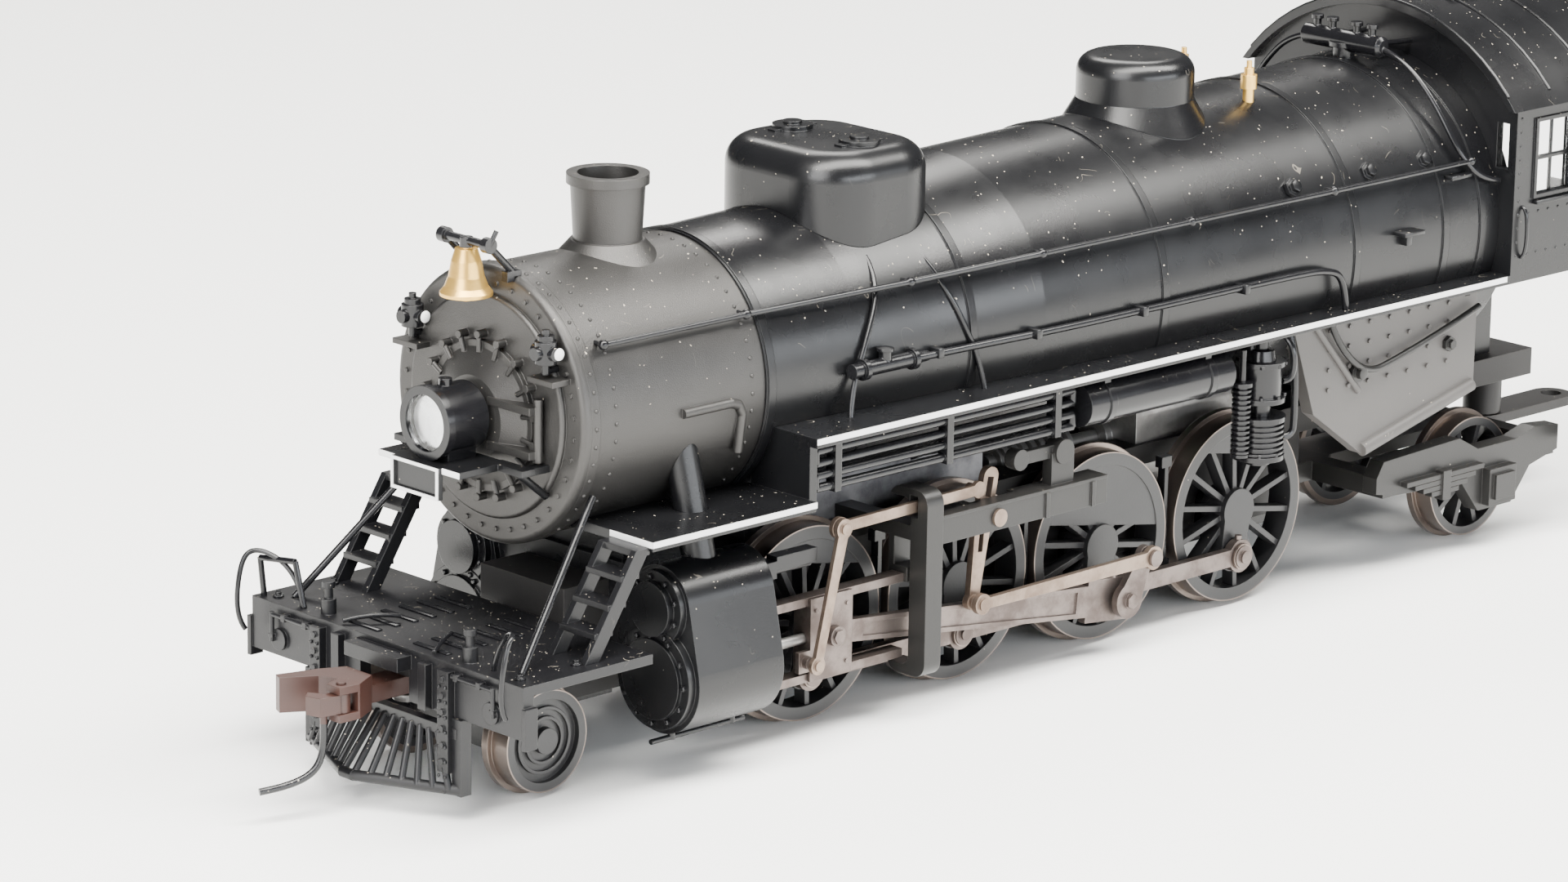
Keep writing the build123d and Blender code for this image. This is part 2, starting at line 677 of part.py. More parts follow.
def make_safety_valves():
    """A pair of turned brass safety valves across the boiler top."""
    x = first_driver_x + 64.5
    tall = 1.15
    radius, z = boiler_at(x)
    with BuildPart() as valves:
        for y in (-4.3, 4.3):
            base = z + sqrt_half(radius, y) - 0.4
            bar_z(x, y, base, base + 1.4 * tall, 0.55)
            bar_z(x, y, base + 1.4 * tall, base + 2.6 * tall, 0.8)
            bar_z(x, y, base + 2.6 * tall, base + 3.2 * tall, 0.5)
            bar_z(x, y, base + 3.2 * tall, base + 3.8 * tall, 0.28)
        cut_to_boiler()
    finish(valves, "safety_valves")


# ---------------------------------------------------------------- front fittings
lamp_x0, lamp_x1 = first_driver_x - 37.4, first_driver_x - 32.6
lamp_r = 3.1
lamp_z = boiler_z - 0.4
shelf_z = lamp_z - lamp_r - 0.2
shelf_front_x = lamp_x0 - 0.6
shelf_half = 5.4


def make_headlight():
    """Drum headlight, hollow for the lens, with a visor ring and a foot."""
    with BuildPart() as lamp:
        bar_x(lamp_x0, lamp_x1, 0, lamp_z, lamp_r)
        bar_x(lamp_x0, lamp_x0 + 0.8, 0, lamp_z, lamp_r + 0.25)
        block(lamp_x0 + 1, lamp_x1 - 0.6, -2.0, 2.0, shelf_z, lamp_z)
        bar_x(lamp_x0, lamp_x1 - 0.8, 0, lamp_z, lamp_r - 0.55, Mode.SUBTRACT)
        bar_z(lamp_x0 + 2.4, 0, lamp_z + lamp_r - 0.3, lamp_z + lamp_r + 0.6, 0.6)
    finish(lamp, "headlight")


def make_headlight_lens():
    """Clear convex lens seated in the front of the headlight."""
    with BuildPart() as lens:
        bar_x(lamp_x0 + 0.25, lamp_x0 + 1.1, 0, lamp_z, lamp_r - 0.55)
    finish(lens, "headlight_lens")


board_half_width = 3.15
board_drop = 2.9


def make_headlight_bracket():
    """Shelf under the headlight with its arms and stays, and the number board frame."""
    top = shelf_z
    under = top - 0.6
    arm_y = 8.6
    with BuildPart() as bracket:
        block(shelf_front_x, smokebox_front_x - 3.4, -shelf_half, shelf_half, under, top)
        for side in (-1, 1):
            block(smokebox_front_x - 4.6, plate_face_x, side * arm_y, side * (shelf_half - 1), under, top)
            bar_between((smokebox_front_x - 4.2, side * (arm_y - 0.8), under + 0.1),
                        (plate_face_x + 0.3, side * (arm_y - 0.8), under - 2.4), 0.35)
        bar_x(plate_face_x, rim_face_x, 0, boiler_z, plate_r, Mode.SUBTRACT)
        bar_x(plate_face_x - 1.8, plate_face_x, 0, door_z, dog_reach + 0.45, Mode.SUBTRACT)
        # number board with a raised frame, hung on the shelf's front edge
        board_x = shelf_front_x - 0.5
        frame = 0.35
        block(board_x, shelf_front_x, -board_half_width, board_half_width, top - board_drop, top)
        block(board_x, board_x + 0.2, frame - board_half_width, board_half_width - frame,
              top - board_drop + frame, top - frame, Mode.SUBTRACT)
    finish(bracket, "headlight_bracket")


def make_bell():
    """Bell and clapper, and the yoke and A-frame that carry them on top of the smokebox front."""
    x = smokebox_front_x - 3.6
    crown_z = boiler_z + smokebox_r + 2.4
    trunnion_z = crown_z + 0.6
    foot_z = boiler_z + sqrt_half(smokebox_r + 0.3, 2.9)
    with BuildPart() as bell:
        profile = [(0, 0), (1.0, -0.1), (1.35, -1.2), (1.6, -2.6), (1.95, -3.5), (2.35, -4.0),
                   (2.35, -4.3),
                   (1.9, -4.3), (1.2, -2.8), (0.8, -0.9), (0, -0.7)]
        with BuildSketch(Plane.XZ):
            with BuildLine():
                Polyline(*[(x + r, crown_z + h) for r, h in profile], close=True)
            make_face()
        revolve(axis=Axis((x, 0, 0), (0, 0, 1)))
        bar_z(x, 0, crown_z - 4.5, crown_z - 0.6, 0.25)
        bar_z(x, 0, crown_z - 4.8, crown_z - 4.0, 0.5)
        bar_z(x, 0, crown_z - 0.1, crown_z + 0.9, 0.6)
        bar_y(x, trunnion_z, -2.9, 2.9, 0.4)
        for side in (-1, 1):
            bar_between((x, side * 2.9, trunnion_z), (smokebox_front_x - 0.3, side * 2.9, foot_z - 0.2),
                        0.35)
            block(smokebox_front_x - 1.7, smokebox_front_x - 0.1, side * 2.5, side * 3.3, foot_z - 0.5,
                  foot_z + 0.4)
            bar_y(x, trunnion_z, side * 2.5, side * 3.3, 0.7)
        bar_x(rim_face_x, smokebox_front_x, 0, boiler_z, smokebox_r + 0.3, Mode.SUBTRACT)
        bar_between((x, -3.1, trunnion_z), (x + 0.6, -3.3, trunnion_z + 1.3), 0.22)
    finish(bell, "bell")


def make_marker_lamps():
    """A pair of marker lamps on stalks beside the top of the smokebox front."""
    with BuildPart() as lamps:
        for side in (-1, 1):
            x, y, z = smokebox_front_x - 2.2, side * 8.9, boiler_z + 6.7
            bar_x(x, rim_face_x, y, z - 1.7, 0.3)
            bar_z(x, y, z - 2.0, z - 1.0, 0.35)
            bar_z(x, y, z - 1.0, z + 1.0, 1.0)
            bar_z(x, y, z + 1.0, z + 1.5, 0.75)
            bar_z(x, y, z + 1.5, z + 2.0, 0.35)
            bar_x(x - 1.4, x, y, z, 0.6)
            bar_y(x, z, y - 1.4, y + 1.4, 0.6)
        bar_x(plate_face_x, rim_face_x, 0, boiler_z, plate_r, Mode.SUBTRACT)
    finish(lamps, "marker_lamps")


# ---------------------------------------------------------------- walkways, deck and pilot
radiator_front_x = first_driver_x - 6.5
board_rear_x = cab_front_x
steam_pipe_r = 1.6
steam_pipe_x = cylinder_front_x + 6.0


def steam_pipe(side, radius, mode=Mode.ADD):
    """Outside steam pipe from the smokebox to the valve chest."""
    top = (steam_pipe_x - 0.6, side * 10.0, boiler_z - 2.6)
    low = (steam_pipe_x, side * cylinder_y, axle_z + valve_rise + 1.0)
    bar_between(top, low, radius, mode)


def make_running_boards():
    """Walkways along the boiler, platforms over the cylinders and the risers that join them."""
    bottom = board_z - board_thick
    low_bottom = platform_z - board_thick
    platform_x = first_driver_x - 26.3
    with BuildPart() as boards:
        for side in (-1, 1):
            block(radiator_front_x, board_rear_x, side * 9, side * board_half, bottom, board_z)
            block(platform_x, radiator_front_x, side * 4, side * board_half, low_bottom, platform_z)
            block(radiator_front_x, radiator_front_x + 0.9, side * 9, side * 16.6, low_bottom, bottom)
        cut_to_boiler()
        cut_to_smokebox()
        for side in (-1, 1):
            steam_pipe(side, steam_pipe_r, Mode.SUBTRACT)
    finish(boards, "running_boards")


beam_thick = 1.2
beam_bottom = deck_z - 4.8


def make_pilot_deck():
    """Front deck, pilot beam with riveted posts, flag stands and the cut lever."""
    under = deck_z - board_thick
    beam_x = front_x + beam_thick
    with BuildPart() as deck:
        block(front_x, first_driver_x - 27.0, -deck_half, deck_half, under, deck_z)
        block(front_x, beam_x, -deck_half, deck_half, beam_bottom, under)
        block(front_x, beam_x, -3.3, 3.3, beam_bottom, coupler_z + coupler_half_h + 0.4, Mode.SUBTRACT)
        for side in (-1, 1):
            # poling pockets, posts and their rivets
            block(front_x - 0.8, front_x, side * 8.0, side * 9.4, beam_bottom - 5.0, deck_z - 0.6)
            block(front_x - 0.8, front_x, side * 5.4, side * 6.4, beam_bottom, deck_z - 0.6)
            for i in range(6):
                bar_x(front_x - 1.0, front_x - 0.8, side * 8.7, beam_bottom - 4.0 + 1.5 * i, 0.28)
            bar_x(front_x - 0.35, front_x, side * 14.4, beam_bottom + 1.6, 1.0)
            block(front_x - 0.2, front_x + 1.2, side * deck_half, side * (deck_half + 0.5),
                  beam_bottom - 0.8, under - 1)
            # flag stands on the deck
            bar_z(front_x + 1.6, side * 9.6, deck_z, deck_z + 1.4, 0.7)
            bar_z(front_x + 1.6, side * 9.6, deck_z + 1.4, deck_z + 2.4, 0.4)
            bar_z(front_x + 1.6, side * 9.6, deck_z + 2.4, deck_z + 3.0, 0.6)
        # cover over the coupler pocket
        block(front_x - 1.6, front_x, -3.6, 3.6, coupler_z + coupler_half_h + 0.4, deck_z - 0.5)
        # cut lever across the beam
        bar_y(front_x - 0.5, deck_z - 0.9, -15.0, -9.6, 0.22)
        bar_y(front_x - 0.5, deck_z - 0.9, 9.6, 15.0, 0.22)
        for side in (-1, 1):
            block(front_x - 0.75, front_x, side * 13.0, side * 13.5, deck_z - 1.2, deck_z - 0.6)
            bar_z(front_x - 0.5, side * 15.0, deck_z - 3.4, deck_z - 0.7, 0.22)
            block(front_x - 0.72, front_x, side * 14.7, side * 15.3, deck_z - 3.0, deck_z - 2.7)
            block(front_x - 0.75, front_x, side * 10.0, side * 10.5, deck_z - 1.2, deck_z - 0.6)
    finish(deck, "pilot_deck")


def make_pilot():
    """Slatted pilot below the beam, between a top rail and a pointed foot rail."""
    top_z = beam_bottom - 1.8
    foot_z = rail_z + 2.4
    tip_x = front_x - 4.2
    count = 7
    with BuildPart() as pilot:
        for side in (-1, 1):
            block(front_x - 0.4, front_x + 0.6, 0, side * 10.0, top_z, top_z + 0.9)
            bar_between((front_x + 0.2, side * 10.4, foot_z), (tip_x, side * 0.6, foot_z), 0.5)
            block(front_x - 0.3, front_x + 0.9, side * 9.4, side * 10.6, foot_z - 0.45, beam_bottom)
            for i in range(count):
                share = i / (count - 1)
                foot = (tip_x + share * (front_x - tip_x - 0.6), side * (0.7 + share * 8.7), foot_z)
                head = (front_x - 0.3, side * (0.5 + share * 7.0), top_z + 0.2)
                bar_between(foot, head, 0.32)
        bar_y(tip_x, foot_z, -0.8, 0.8, 0.5)
        for side in (-1, 1):
            block(front_x - 0.8, front_x, side * 8.0, side * 9.4, beam_bottom - 5.0, beam_bottom,
                  Mode.SUBTRACT)
    finish(pilot, "pilot")


def make_deck_ladders():
    """Sloping ladders from the deck up to the platforms."""
    foot_x = first_driver_x - 33.0
    head_x = first_driver_x - 26.9
    head_z = platform_z - 0.6
    with BuildPart() as ladders:
        for side in (-1, 1):
            for y in (12.6, 16.8):
                with BuildSketch(side_plane(side * y + 0.35)):
                    with BuildLine():
                        Polyline((foot_x - 0.8, deck_z), (foot_x + 0.8, deck_z), (head_x + 0.6, head_z),
                                 (head_x - 1.0, head_z), close=True)
                    make_face()
                extrude(amount=0.7)
            for i in range(3):
                share = (i + 1) / 4
                x = foot_x + share * (head_x - foot_x)
                z = deck_z + share * (head_z - deck_z)
                block(x - 1.1, x + 1.0, side * 12.4, side * 17.0, z - 0.25, z + 0.25)
            block(head_x - 1.0, head_x + 0.6, side * 12.3, side * 17.1, head_z - 0.6, head_z)
    finish(ladders, "deck_ladders")


handrail_r = 0.28


def make_handrails():
    """Handrails along the boiler on their stanchions, and the braces from deck to smokebox."""
    with BuildPart() as rails:
        for side in (-1, 1):
            points = []
            for dx in (-26.5, -9.4, 10.0, 26.0, 46.0, 66.0, 86.0):
                x = first_driver_x + dx
                radius, z = (smokebox_r, boiler_z) if x < smokebox_rear_x else boiler_at(x)
                rise = 7.0
                reach = sqrt_half(radius, rise)
                points.append((x, side * (reach + 1.0), z + rise))
                bar_y(x, z + rise, side * (reach - 0.5), side * (reach + 1.0), 0.22)
                with Locations((x, side * (reach + 1.0), z + rise)):
                    Sphere(0.48)
            for a, b in zip(points[:-1], points[1:]):
                bar_between(a, b, handrail_r)
            # brace from the deck to the smokebox
            bar_between((front_x + 2.4, side * 15.4, deck_z),
                        (smokebox_front_x + 1.6, side * 10.9, boiler_z - 6.6), 0.33)
            # grab iron at the corner of the deck
            base_x, y = front_x + 0.8, side * (deck_half - 0.7)
            if side > 0:
                bar_between((base_x, y, deck_z), (base_x - 0.4, y, deck_z + 3.6), handrail_r)
                bar_between((base_x - 0.4, y, deck_z + 3.6), (base_x + 0.2, y - 4.2, deck_z + 4.0),
                            handrail_r)
                bar_between((base_x + 0.2, y - 4.2, deck_z + 4.0), (base_x + 0.2, y - 5.4, deck_z),
                            handrail_r)
        cut_to_boiler()
        cut_to_smokebox()
        block(front_x, front_x + 12, -deck_half, deck_half, deck_z - 2, deck_z, Mode.SUBTRACT)
    finish(rails, "handrails")


# ---------------------------------------------------------------- fittings under the running boards
def make_air_reservoirs():
    """Cooling pipes and air tanks that hang below both running boards."""
    top = board_z - board_thick
    pipes_x0, pipes_x1 = radiator_front_x + 1.6, first_driver_x + 28.5
    tank_x0, tank_x1 = first_driver_x + 29.5, first_driver_x + 49.5
    tank_r = 2.1
    with BuildPart() as tanks:
        for side in (-1, 1):
            y = side * 15.6
            for row in range(4):
                z = top - 0.9 - 1.15 * row
                bar_x(pipes_x0, pipes_x1, y, z, 0.42)
            for end in (pipes_x0, pipes_x1):
                for pair in (0, 2):
                    z = top - 0.9 - 1.15 * pair
                    bar_z(end, y, z - 1.15, z, 0.42)
            for x in (pipes_x0 + 2.4, (pipes_x0 + pipes_x1) / 2, pipes_x1 - 2.4):
                block(x - 0.4, x + 0.4, y - 0.6, y + 0.6, top - 4.9, top)
            bar_x(tank_x0, tank_x1, y - side * 0.4, top - tank_r - 0.5, tank_r)
            for x in (tank_x0 + 3, tank_x1 - 3):
                bar_x(x - 0.4, x + 0.4, y - side * 0.4, top - tank_r - 0.5, tank_r + 0.15)
                block(x - 0.4, x + 0.4, y - side * 0.4 - 1.2, y - side * 0.4 + 1.2, top - 1.2, top)
        boiler_solid(0.3, Mode.SUBTRACT)
    finish(tanks, "air_reservoirs")


def make_air_pump():
    """Steam-driven air pump: two cylinders one above the other on a bracket, with side pipes."""
    x, y = first_driver_x + 55.4, -15.2
    top = board_z - board_thick
    with BuildPart() as pump:
        bar_z(x, y, top - 1.0, top, 1.5)
        bar_z(x, y, top - 5.4, top - 1.0, 2.2)
        bar_z(x, y, top - 6.8, top - 5.4, 1.2)
        bar_z(x, y, top - 10.2, top - 6.8, 2.4)
        bar_z(x, y, top - 10.8, top - 10.2, 2.7)
        bar_z(x, y, top - 11.4, top - 10.8, 1.3)
        bar_z(x, y, top - 5.7, top - 5.2, 2.6)
        bar_z(x, y, top - 7.1, top - 6.6, 2.7)
        bar_z(x + 2.6, y - 0.6, top - 9.5, top, 0.4)
        bar_z(x - 2.5, y - 0.6, top - 9.0, top - 2.0, 0.35)
        block(x - 2.5, x - 1.5, y - 0.95, y - 0.25, top - 2.4, top - 2.0)
        block(x + 1.6, x + 2.6, y - 0.95, y - 0.25, top - 9.5, top - 9.0)
        block(x - 1.2, x + 1.2, y, y + 2.0, top - 6.0, top)
        cut_to_boiler()
    finish(pump, "air_pump")


def make_firebox_sides():
    """Riveted firebox and ashpan sheets behind the last driver, on both sides."""
    top = board_z - board_thick
    outline = [(61.0, top), (64.6, rail_z + 18.6), (72.0, rail_z + 13.4), (89.0, rail_z + 17.4),
               (89.0, top)]
    with BuildPart() as sides:
        for side in (-1, 1):
            with BuildSketch(outer_plane(side, 12.7, 14.2)):
                with BuildLine():
                    Polyline(*[(first_driver_x + px, pz) for px, pz in outline], close=True)
                make_face()
            extrude(amount=1.5)
            # sloping ledge along the foot of the sheet
            bar_between((first_driver_x + 72.0, side * 14.2, rail_z + 13.8),
                        (first_driver_x + 88.6, side * 14.2, rail_z + 17.7), 0.7)
            # washout pipe that runs down the sheet
            bar_between((first_driver_x + 64.0, side * 14.4, top - 0.6),
                        (first_driver_x + 71.0, side * 14.4, rail_z + 20.0), 0.35)
            # staybolt heads in rows
            for i in range(7):
                for j in range(5):
                    x = first_driver_x + 66.5 + 3.0 * i
                    z = top - 1.6 - 2.0 * j
                    if z > rail_z + 19.2 and x < first_driver_x + 87:
                        face = -14.45 if side < 0 else 14.2
                        bar_y(x, z, face, face + 0.25, 0.24)
            block(first_driver_x + 62.0, first_driver_x + 88.0, side * 11.6, side * 12.7, top - 3.0, top)
        cut_to_boiler()
    finish(sides, "firebox_sides")


# ---------------------------------------------------------------- cab
cab_half = 17.5
cab_wall = 0.9
cab_floor_z = board_z
eave_z = rail_z + 46.5
roof_top_z = rail_z + 54.6


def cab_outline(grow=0.0):
    """Cab section seen from the front, in the active sketch, from floor to arched roof."""
    half = cab_half + grow
    with BuildLine() as outline:
        Polyline((-half, cab_floor_z - board_thick - grow), (half, cab_floor_z - board_thick - grow),
                 (half, eave_z))
        ThreePointArc((half, eave_z), (0, roof_top_z + grow), (-half, eave_z))
        Line((-half, eave_z), (-half, cab_floor_z - board_thick - grow))
    make_face(outline.edges())


def make_cab():
    """Cab shell with side windows, front windows, an open back and an overhanging roof."""
    with BuildPart() as cab:
        with BuildSketch(Plane(origin=(cab_front_x, 0, 0), x_dir=(0, 1, 0), z_dir=(1, 0, 0))):
            cab_outline()
        extrude(amount=cab_rear_x - cab_front_x)
        with BuildSketch(Plane(origin=(cab_front_x + cab_wall, 0, 0), x_dir=(0, 1, 0), z_dir=(1, 0, 0))):
            cab_outline(-cab_wall)
        extrude(amount=cab_rear_x - cab_front_x, mode=Mode.SUBTRACT)
        # roof overhang at the front and the rear
        with BuildSketch(Plane(origin=(cab_front_x - 1.2, 0, 0), x_dir=(0, 1, 0), z_dir=(1, 0, 0))):
            with BuildLine():
                ThreePointArc((cab_half + 0.6, eave_z - 0.4), (0, roof_top_z + 0.5),
                              (-cab_half - 0.6, eave_z - 0.4))
                Line((-cab_half - 0.6, eave_z - 0.4), (-cab_half + 0.2, eave_z - 0.4))
                ThreePointArc((-cab_half + 0.2, eave_z - 0.4), (0, roof_top_z - 0.4),
                              (cab_half - 0.2, eave_z - 0.4))
                Line((cab_half - 0.2, eave_z - 0.4), (cab_half + 0.6, eave_z - 0.4))
            make_face()
        extrude(amount=cab_rear_x - cab_front_x + 3.6)
        cut_to_boiler()
        for side in (-1, 1):
            for x in (cab_front_x + 3.2, cab_front_x + 9.4):
                block(x, x + 5.2, side * 15, side * 18.4, rail_z + 37.2, rail_z + 44.6, Mode.SUBTRACT)
                for edge in (x - 0.4, x + 5.2):
                    block(edge, edge + 0.4, side * cab_half, side * (cab_half + 0.25), rail_z + 36.8,
                          rail_z + 45.0)
                for z in (rail_z + 36.8, rail_z + 44.6):
                    block(x - 0.4, x + 5.6, side * cab_half, side * (cab_half + 0.25), z, z + 0.4)
            # narrow front window beside the boiler
            block(cab_front_x - 2, cab_front_x + 2, side * 15.0, side * 16.5, rail_z + 40.0,
                  rail_z + 44.6,
                  Mode.SUBTRACT)
            # cab steps
            block(cab_rear_x - 5.4, cab_rear_x - 4.6, side * 15.6, side * 16.4, rail_z + 9,
                  cab_floor_z - 0.5)
            block(cab_rear_x - 1.4, cab_rear_x - 0.6, side * 15.6, side * 16.4, rail_z + 9,
                  cab_floor_z - 0.5)
            for z in (rail_z + 9.0, rail_z + 16.0):
                block(cab_rear_x - 5.4, cab_rear_x - 0.6, side * 14.6, side * 17.0, z, z + 0.6)
        # roof hatch
        block(cab_front_x + 5, cab_front_x + 14, -4.4, 4.4, roof_top_z - 0.6, roof_top_z + 1.0)
        # mounting leg down to the frame
        block(cab_front_x + 6, cab_rear_x - 6, -4.0, 4.0, frame_top, cab_floor_z)
        cut_to_boiler()
    finish(cab, "cab")


# ---------------------------------------------------------------- cylinders, guides and hangers
piston_rod_r = 0.5
crosshead_shift = crank_throw * cos(radians(crank_angle))
crosshead_shift_right = crank_throw * cos(radians(crank_angle + 90.0))
guide_top = 4.0
guide_thick = 0.8
guide_z = (-guide_top, guide_top - guide_thick)
yoke_x = first_driver_x + 8.5
yoke_thick = 2.1
yoke_half = 2.45
yoke_leg = 2.15


def make_cylinders():
    """Cylinder and valve chest castings with their heads, saddle and outside steam pipes."""
    valve_z = axle_z + valve_rise
    x0, x1 = cylinder_front_x + 0.8, cylinder_rear_x - 0.6
    with BuildPart() as casting:
        for side in (-1, 1):
            y = side * cylinder_y
            # jacket wrapped round both bores
            with BuildSketch(Plane(origin=(x0, y, axle_z), x_dir=(0, 1, 0), z_dir=(1, 0, 0))):
                Circle(cylinder_r)
                with Locations((0, valve_rise)):
                    Circle(valve_r)
                with BuildLine():
                    lean = acos((cylinder_r - valve_r) / valve_rise)
                    c, s = cos(lean), sin(lean)
                    Polyline((cylinder_r * s, cylinder_r * c), (valve_r * s, valve_rise + valve_r * c),
                             (-valve_r * s, valve_rise + valve_r * c), (-cylinder_r * s, cylinder_r * c), close=True)
                make_face()
            extrude(amount=x1 - x0)
            # heads at both ends
            bar_x(cylinder_front_x, x0, y, axle_z, cylinder_r - 0.5)
            bar_x(cylinder_front_x - 0.4, cylinder_front_x, y, axle_z, cylinder_r - 1.5)
            bar_x(cylinder_front_x + 0.1, x0, y, valve_z, valve_r - 0.4)
            bar_x(cylinder_front_x - 0.6, x0, y, valve_z, valve_r - 1.3)
            bar_x(x1, cylinder_rear_x, y, axle_z, cylinder_r - 1.6)
            bar_x(x1, cylinder_rear_x, y, valve_z, valve_r - 0.8)
            # drain cocks under the cylinder
            for x in (x0 + 1.5, x1 - 1.5):
                bar_z(x, y, axle_z - cylinder_r - 0.9, axle_z - cylinder_r + 0.4, 0.35)
            bar_x(x0 - 1.0, x1, y, axle_z - cylinder_r - 0.7, 0.25)
            # valve stem and its guide at the rear of the chest
            bar_x(cylinder_rear_x - 0.1, first_driver_x - 3.6, y + side * 0.6, valve_z + 0.9, 0.4)
            block(first_driver_x - 8.4, first_driver_x - 3.4, y + side * 0.1, y + side * 1.5,
                  valve_z + 1.1, valve_z + 2.4)
            block(cylinder_rear_x - 0.1, first_driver_x - 8.4, y - side * 0.6, y + side * 1.5,
                  valve_z + 0.4, valve_z + 2.0)
            # bore and gland for the piston rod
            bar_x(cylinder_rear_x, cylinder_rear_x + 0.9, y, axle_z, 1.1)
            bar_x(cylinder_front_x + 2.0, cylinder_rear_x + 0.9, y, axle_z, piston_rod_r + running_fit,
                  Mode.SUBTRACT)
            steam_pipe(side, steam_pipe_r - 0.05)
        # saddle between the two sides, up to the smokebox
        block(x0 + 0.6, x1 - 0.2, -cylinder_y + 2, cylinder_y - 2, frame_top, valve_z + 2.6)
        block(x0 + 1.4, x1 - 1.0, -6.5, 6.5, frame_top, boiler_z - 8)
        block(x0 + 0.6, x1 - 0.2, frame_half, cylinder_y - 2, axle_z + 1.5, frame_top)
        block(x0 + 0.6, x1 - 0.2, -cylinder_y + 2, -frame_half, axle_z + 1.5, frame_top)
        bar_x(smokebox_front_x, smokebox_rear_x, 0, boiler_z, smokebox_r, Mode.SUBTRACT)
    finish(casting, "cylinders")


def make_guide_bars():
    """Upper and lower crosshead guide bars, from the cylinders to the guide yokes."""
    with BuildPart() as bars:
        for side in (-1, 1):
            for low in guide_z:
                block(cylinder_rear_x, yoke_x, side * 12.3, side * 13.8, axle_z + low,
                      axle_z + low + guide_thick)
        for side in (-1, 1):
            y = side * cylinder_y
            bar_x(cylinder_rear_x - 1, cylinder_rear_x, y, axle_z, cylinder_r, Mode.SUBTRACT)
    finish(bars, "guide_bars")


def make_motion_hanger():
    """Guide yokes with rounded corners and the beams that carry the expansion links."""
    beam_z = link_pivot[1]
    yoke_y = 14.25
    yoke_low = axle_z - 5.6
    yoke_high = rail_z + 21.4
    with BuildPart() as hanger:
        for side in (-1, 1):
            # C-shaped yoke across the engine's side, open towards the wheels
            with BuildSketch(Plane(origin=(yoke_x, 0, 0), x_dir=(0, 1, 0), z_dir=(1, 0, 0))):
                with Locations((side * yoke_y, (yoke_low + yoke_high) / 2)):
                    RectangleRounded(2 * yoke_half, yoke_high - yoke_low, 1.4)
                with Locations((side * (yoke_y - yoke_leg), (yoke_low + yoke_high) / 2)):
                    RectangleRounded(2 * yoke_half, yoke_high - yoke_low - 1.8, 0.9, mode=Mode.SUBTRACT)
            extrude(amount=yoke_thick)
            # slot that the radius rod runs through
            block(yoke_x, yoke_x + yoke_thick, side * (radius_rod_in - 0.3),
                  side * (radius_rod_out + 0.25),
                  lever_top[1] - 0.9, lever_top[1] + 1.2, Mode.SUBTRACT)
            block(yoke_x, yoke_x + yoke_thick, side * 4.7, side * 15.8, frame_top, frame_top + 1.4)
            block(yoke_x, yoke_x + yoke_thick, side * 11.8, side * 14.2, axle_z + guide_z[1],
                  axle_z + guide_top + 0.6)
            block(yoke_x, yoke_x + yoke_thick, side * 11.8, side * 12.5, axle_z + guide_z[1], frame_top)
            # beam behind the yoke
            block(yoke_x + yoke_thick, first_driver_x + 33.0, side * 14.8, side * 16.2, beam_z - 1.2,
                  beam_z + 1.2)
            for x in (first_driver_x + 24.6, first_driver_x + 30.8):
                block(x, x + 0.5, side * 16.2, side * 16.4, beam_z - 1.2, beam_z + 1.2)
            block(yoke_x + yoke_thick, first_driver_x + 33.0, side * 13.7, side * 16.3, beam_z + 1.2,
                  beam_z + 1.5)
            # reverse shaft bracket and bosses above the beam
            block(first_driver_x + 26.0, first_driver_x + 29.0, side * 14.4, side * 15.6, beam_z + 1.5,
                  beam_z + 4.6)
            bar_y(first_driver_x + 27.5, beam_z + 4.6, side * 14.2, side * 15.9, 1.2)
            block(first_driver_x + 21.9, first_driver_x + 27.5, side * 14.6, side * 15.3, beam_z + 4.1,
                  beam_z + 5.3)
            bar_y(first_driver_x + 21.9, beam_z + 4.7, side * 14.3, side * 15.6, 1.0)
            # slot in the beam's ledge for the link, and the bore for its trunnion
            block(link_pivot[0] - 2.2, link_pivot[0] + 3.6, side * 13.6, side * 14.6, beam_z + 1.1,
                  beam_z + 1.6, Mode.SUBTRACT)
            bar_y(link_pivot[0], beam_z, side * 14.5, side * 16.5, 0.55, Mode.SUBTRACT)
    finish(hanger, "motion_hanger")


def make_expansion_links():
    """Slotted expansion links hung on trunnions, with their foot pins."""
    foot_x, foot_z = link_foot
    pivot_x, pivot_z = link_pivot
    with BuildPart() as links:
        for side in (-1, 1):
            with BuildSketch(outer_plane(side, link_in, link_out)):
                strap((foot_x, foot_z), (pivot_x - 0.3, pivot_z - 1.6), 0.6, 1.0)
                strap((pivot_x - 0.3, pivot_z - 1.6), (pivot_x + 0.7, pivot_z + 3.4), 1.0, 0.95)
                with Locations((pivot_x + 0.7, pivot_z + 3.4)):
                    Circle(0.95)
                with Locations((foot_x, foot_z)):
                    Circle(0.85)
                with Locations((pivot_x, pivot_z)):
                    Circle(1.15)
            extrude(amount=link_out - link_in)
            with BuildSketch(outer_plane(side, link_in, link_out)):
                strap((pivot_x + 0.3, pivot_z + 1.5), (pivot_x + 0.68, pivot_z + 3.4), 0.4, 0.4)
                strap((pivot_x - 0.38, pivot_z - 1.9), (pivot_x - 0.55, pivot_z - 3.6), 0.3, 0.3)
            extrude(amount=link_out - link_in, mode=Mode.SUBTRACT)
            bar_y(pivot_x, pivot_z, side * link_out, side * 16.2, 0.55)
            bar_y(pivot_x, pivot_z, side * 16.2, side * 16.5, 0.85)
            bar_y(foot_x, foot_z, side * link_out, side * 14.8, 0.7)
    finish(links, "expansion_links")


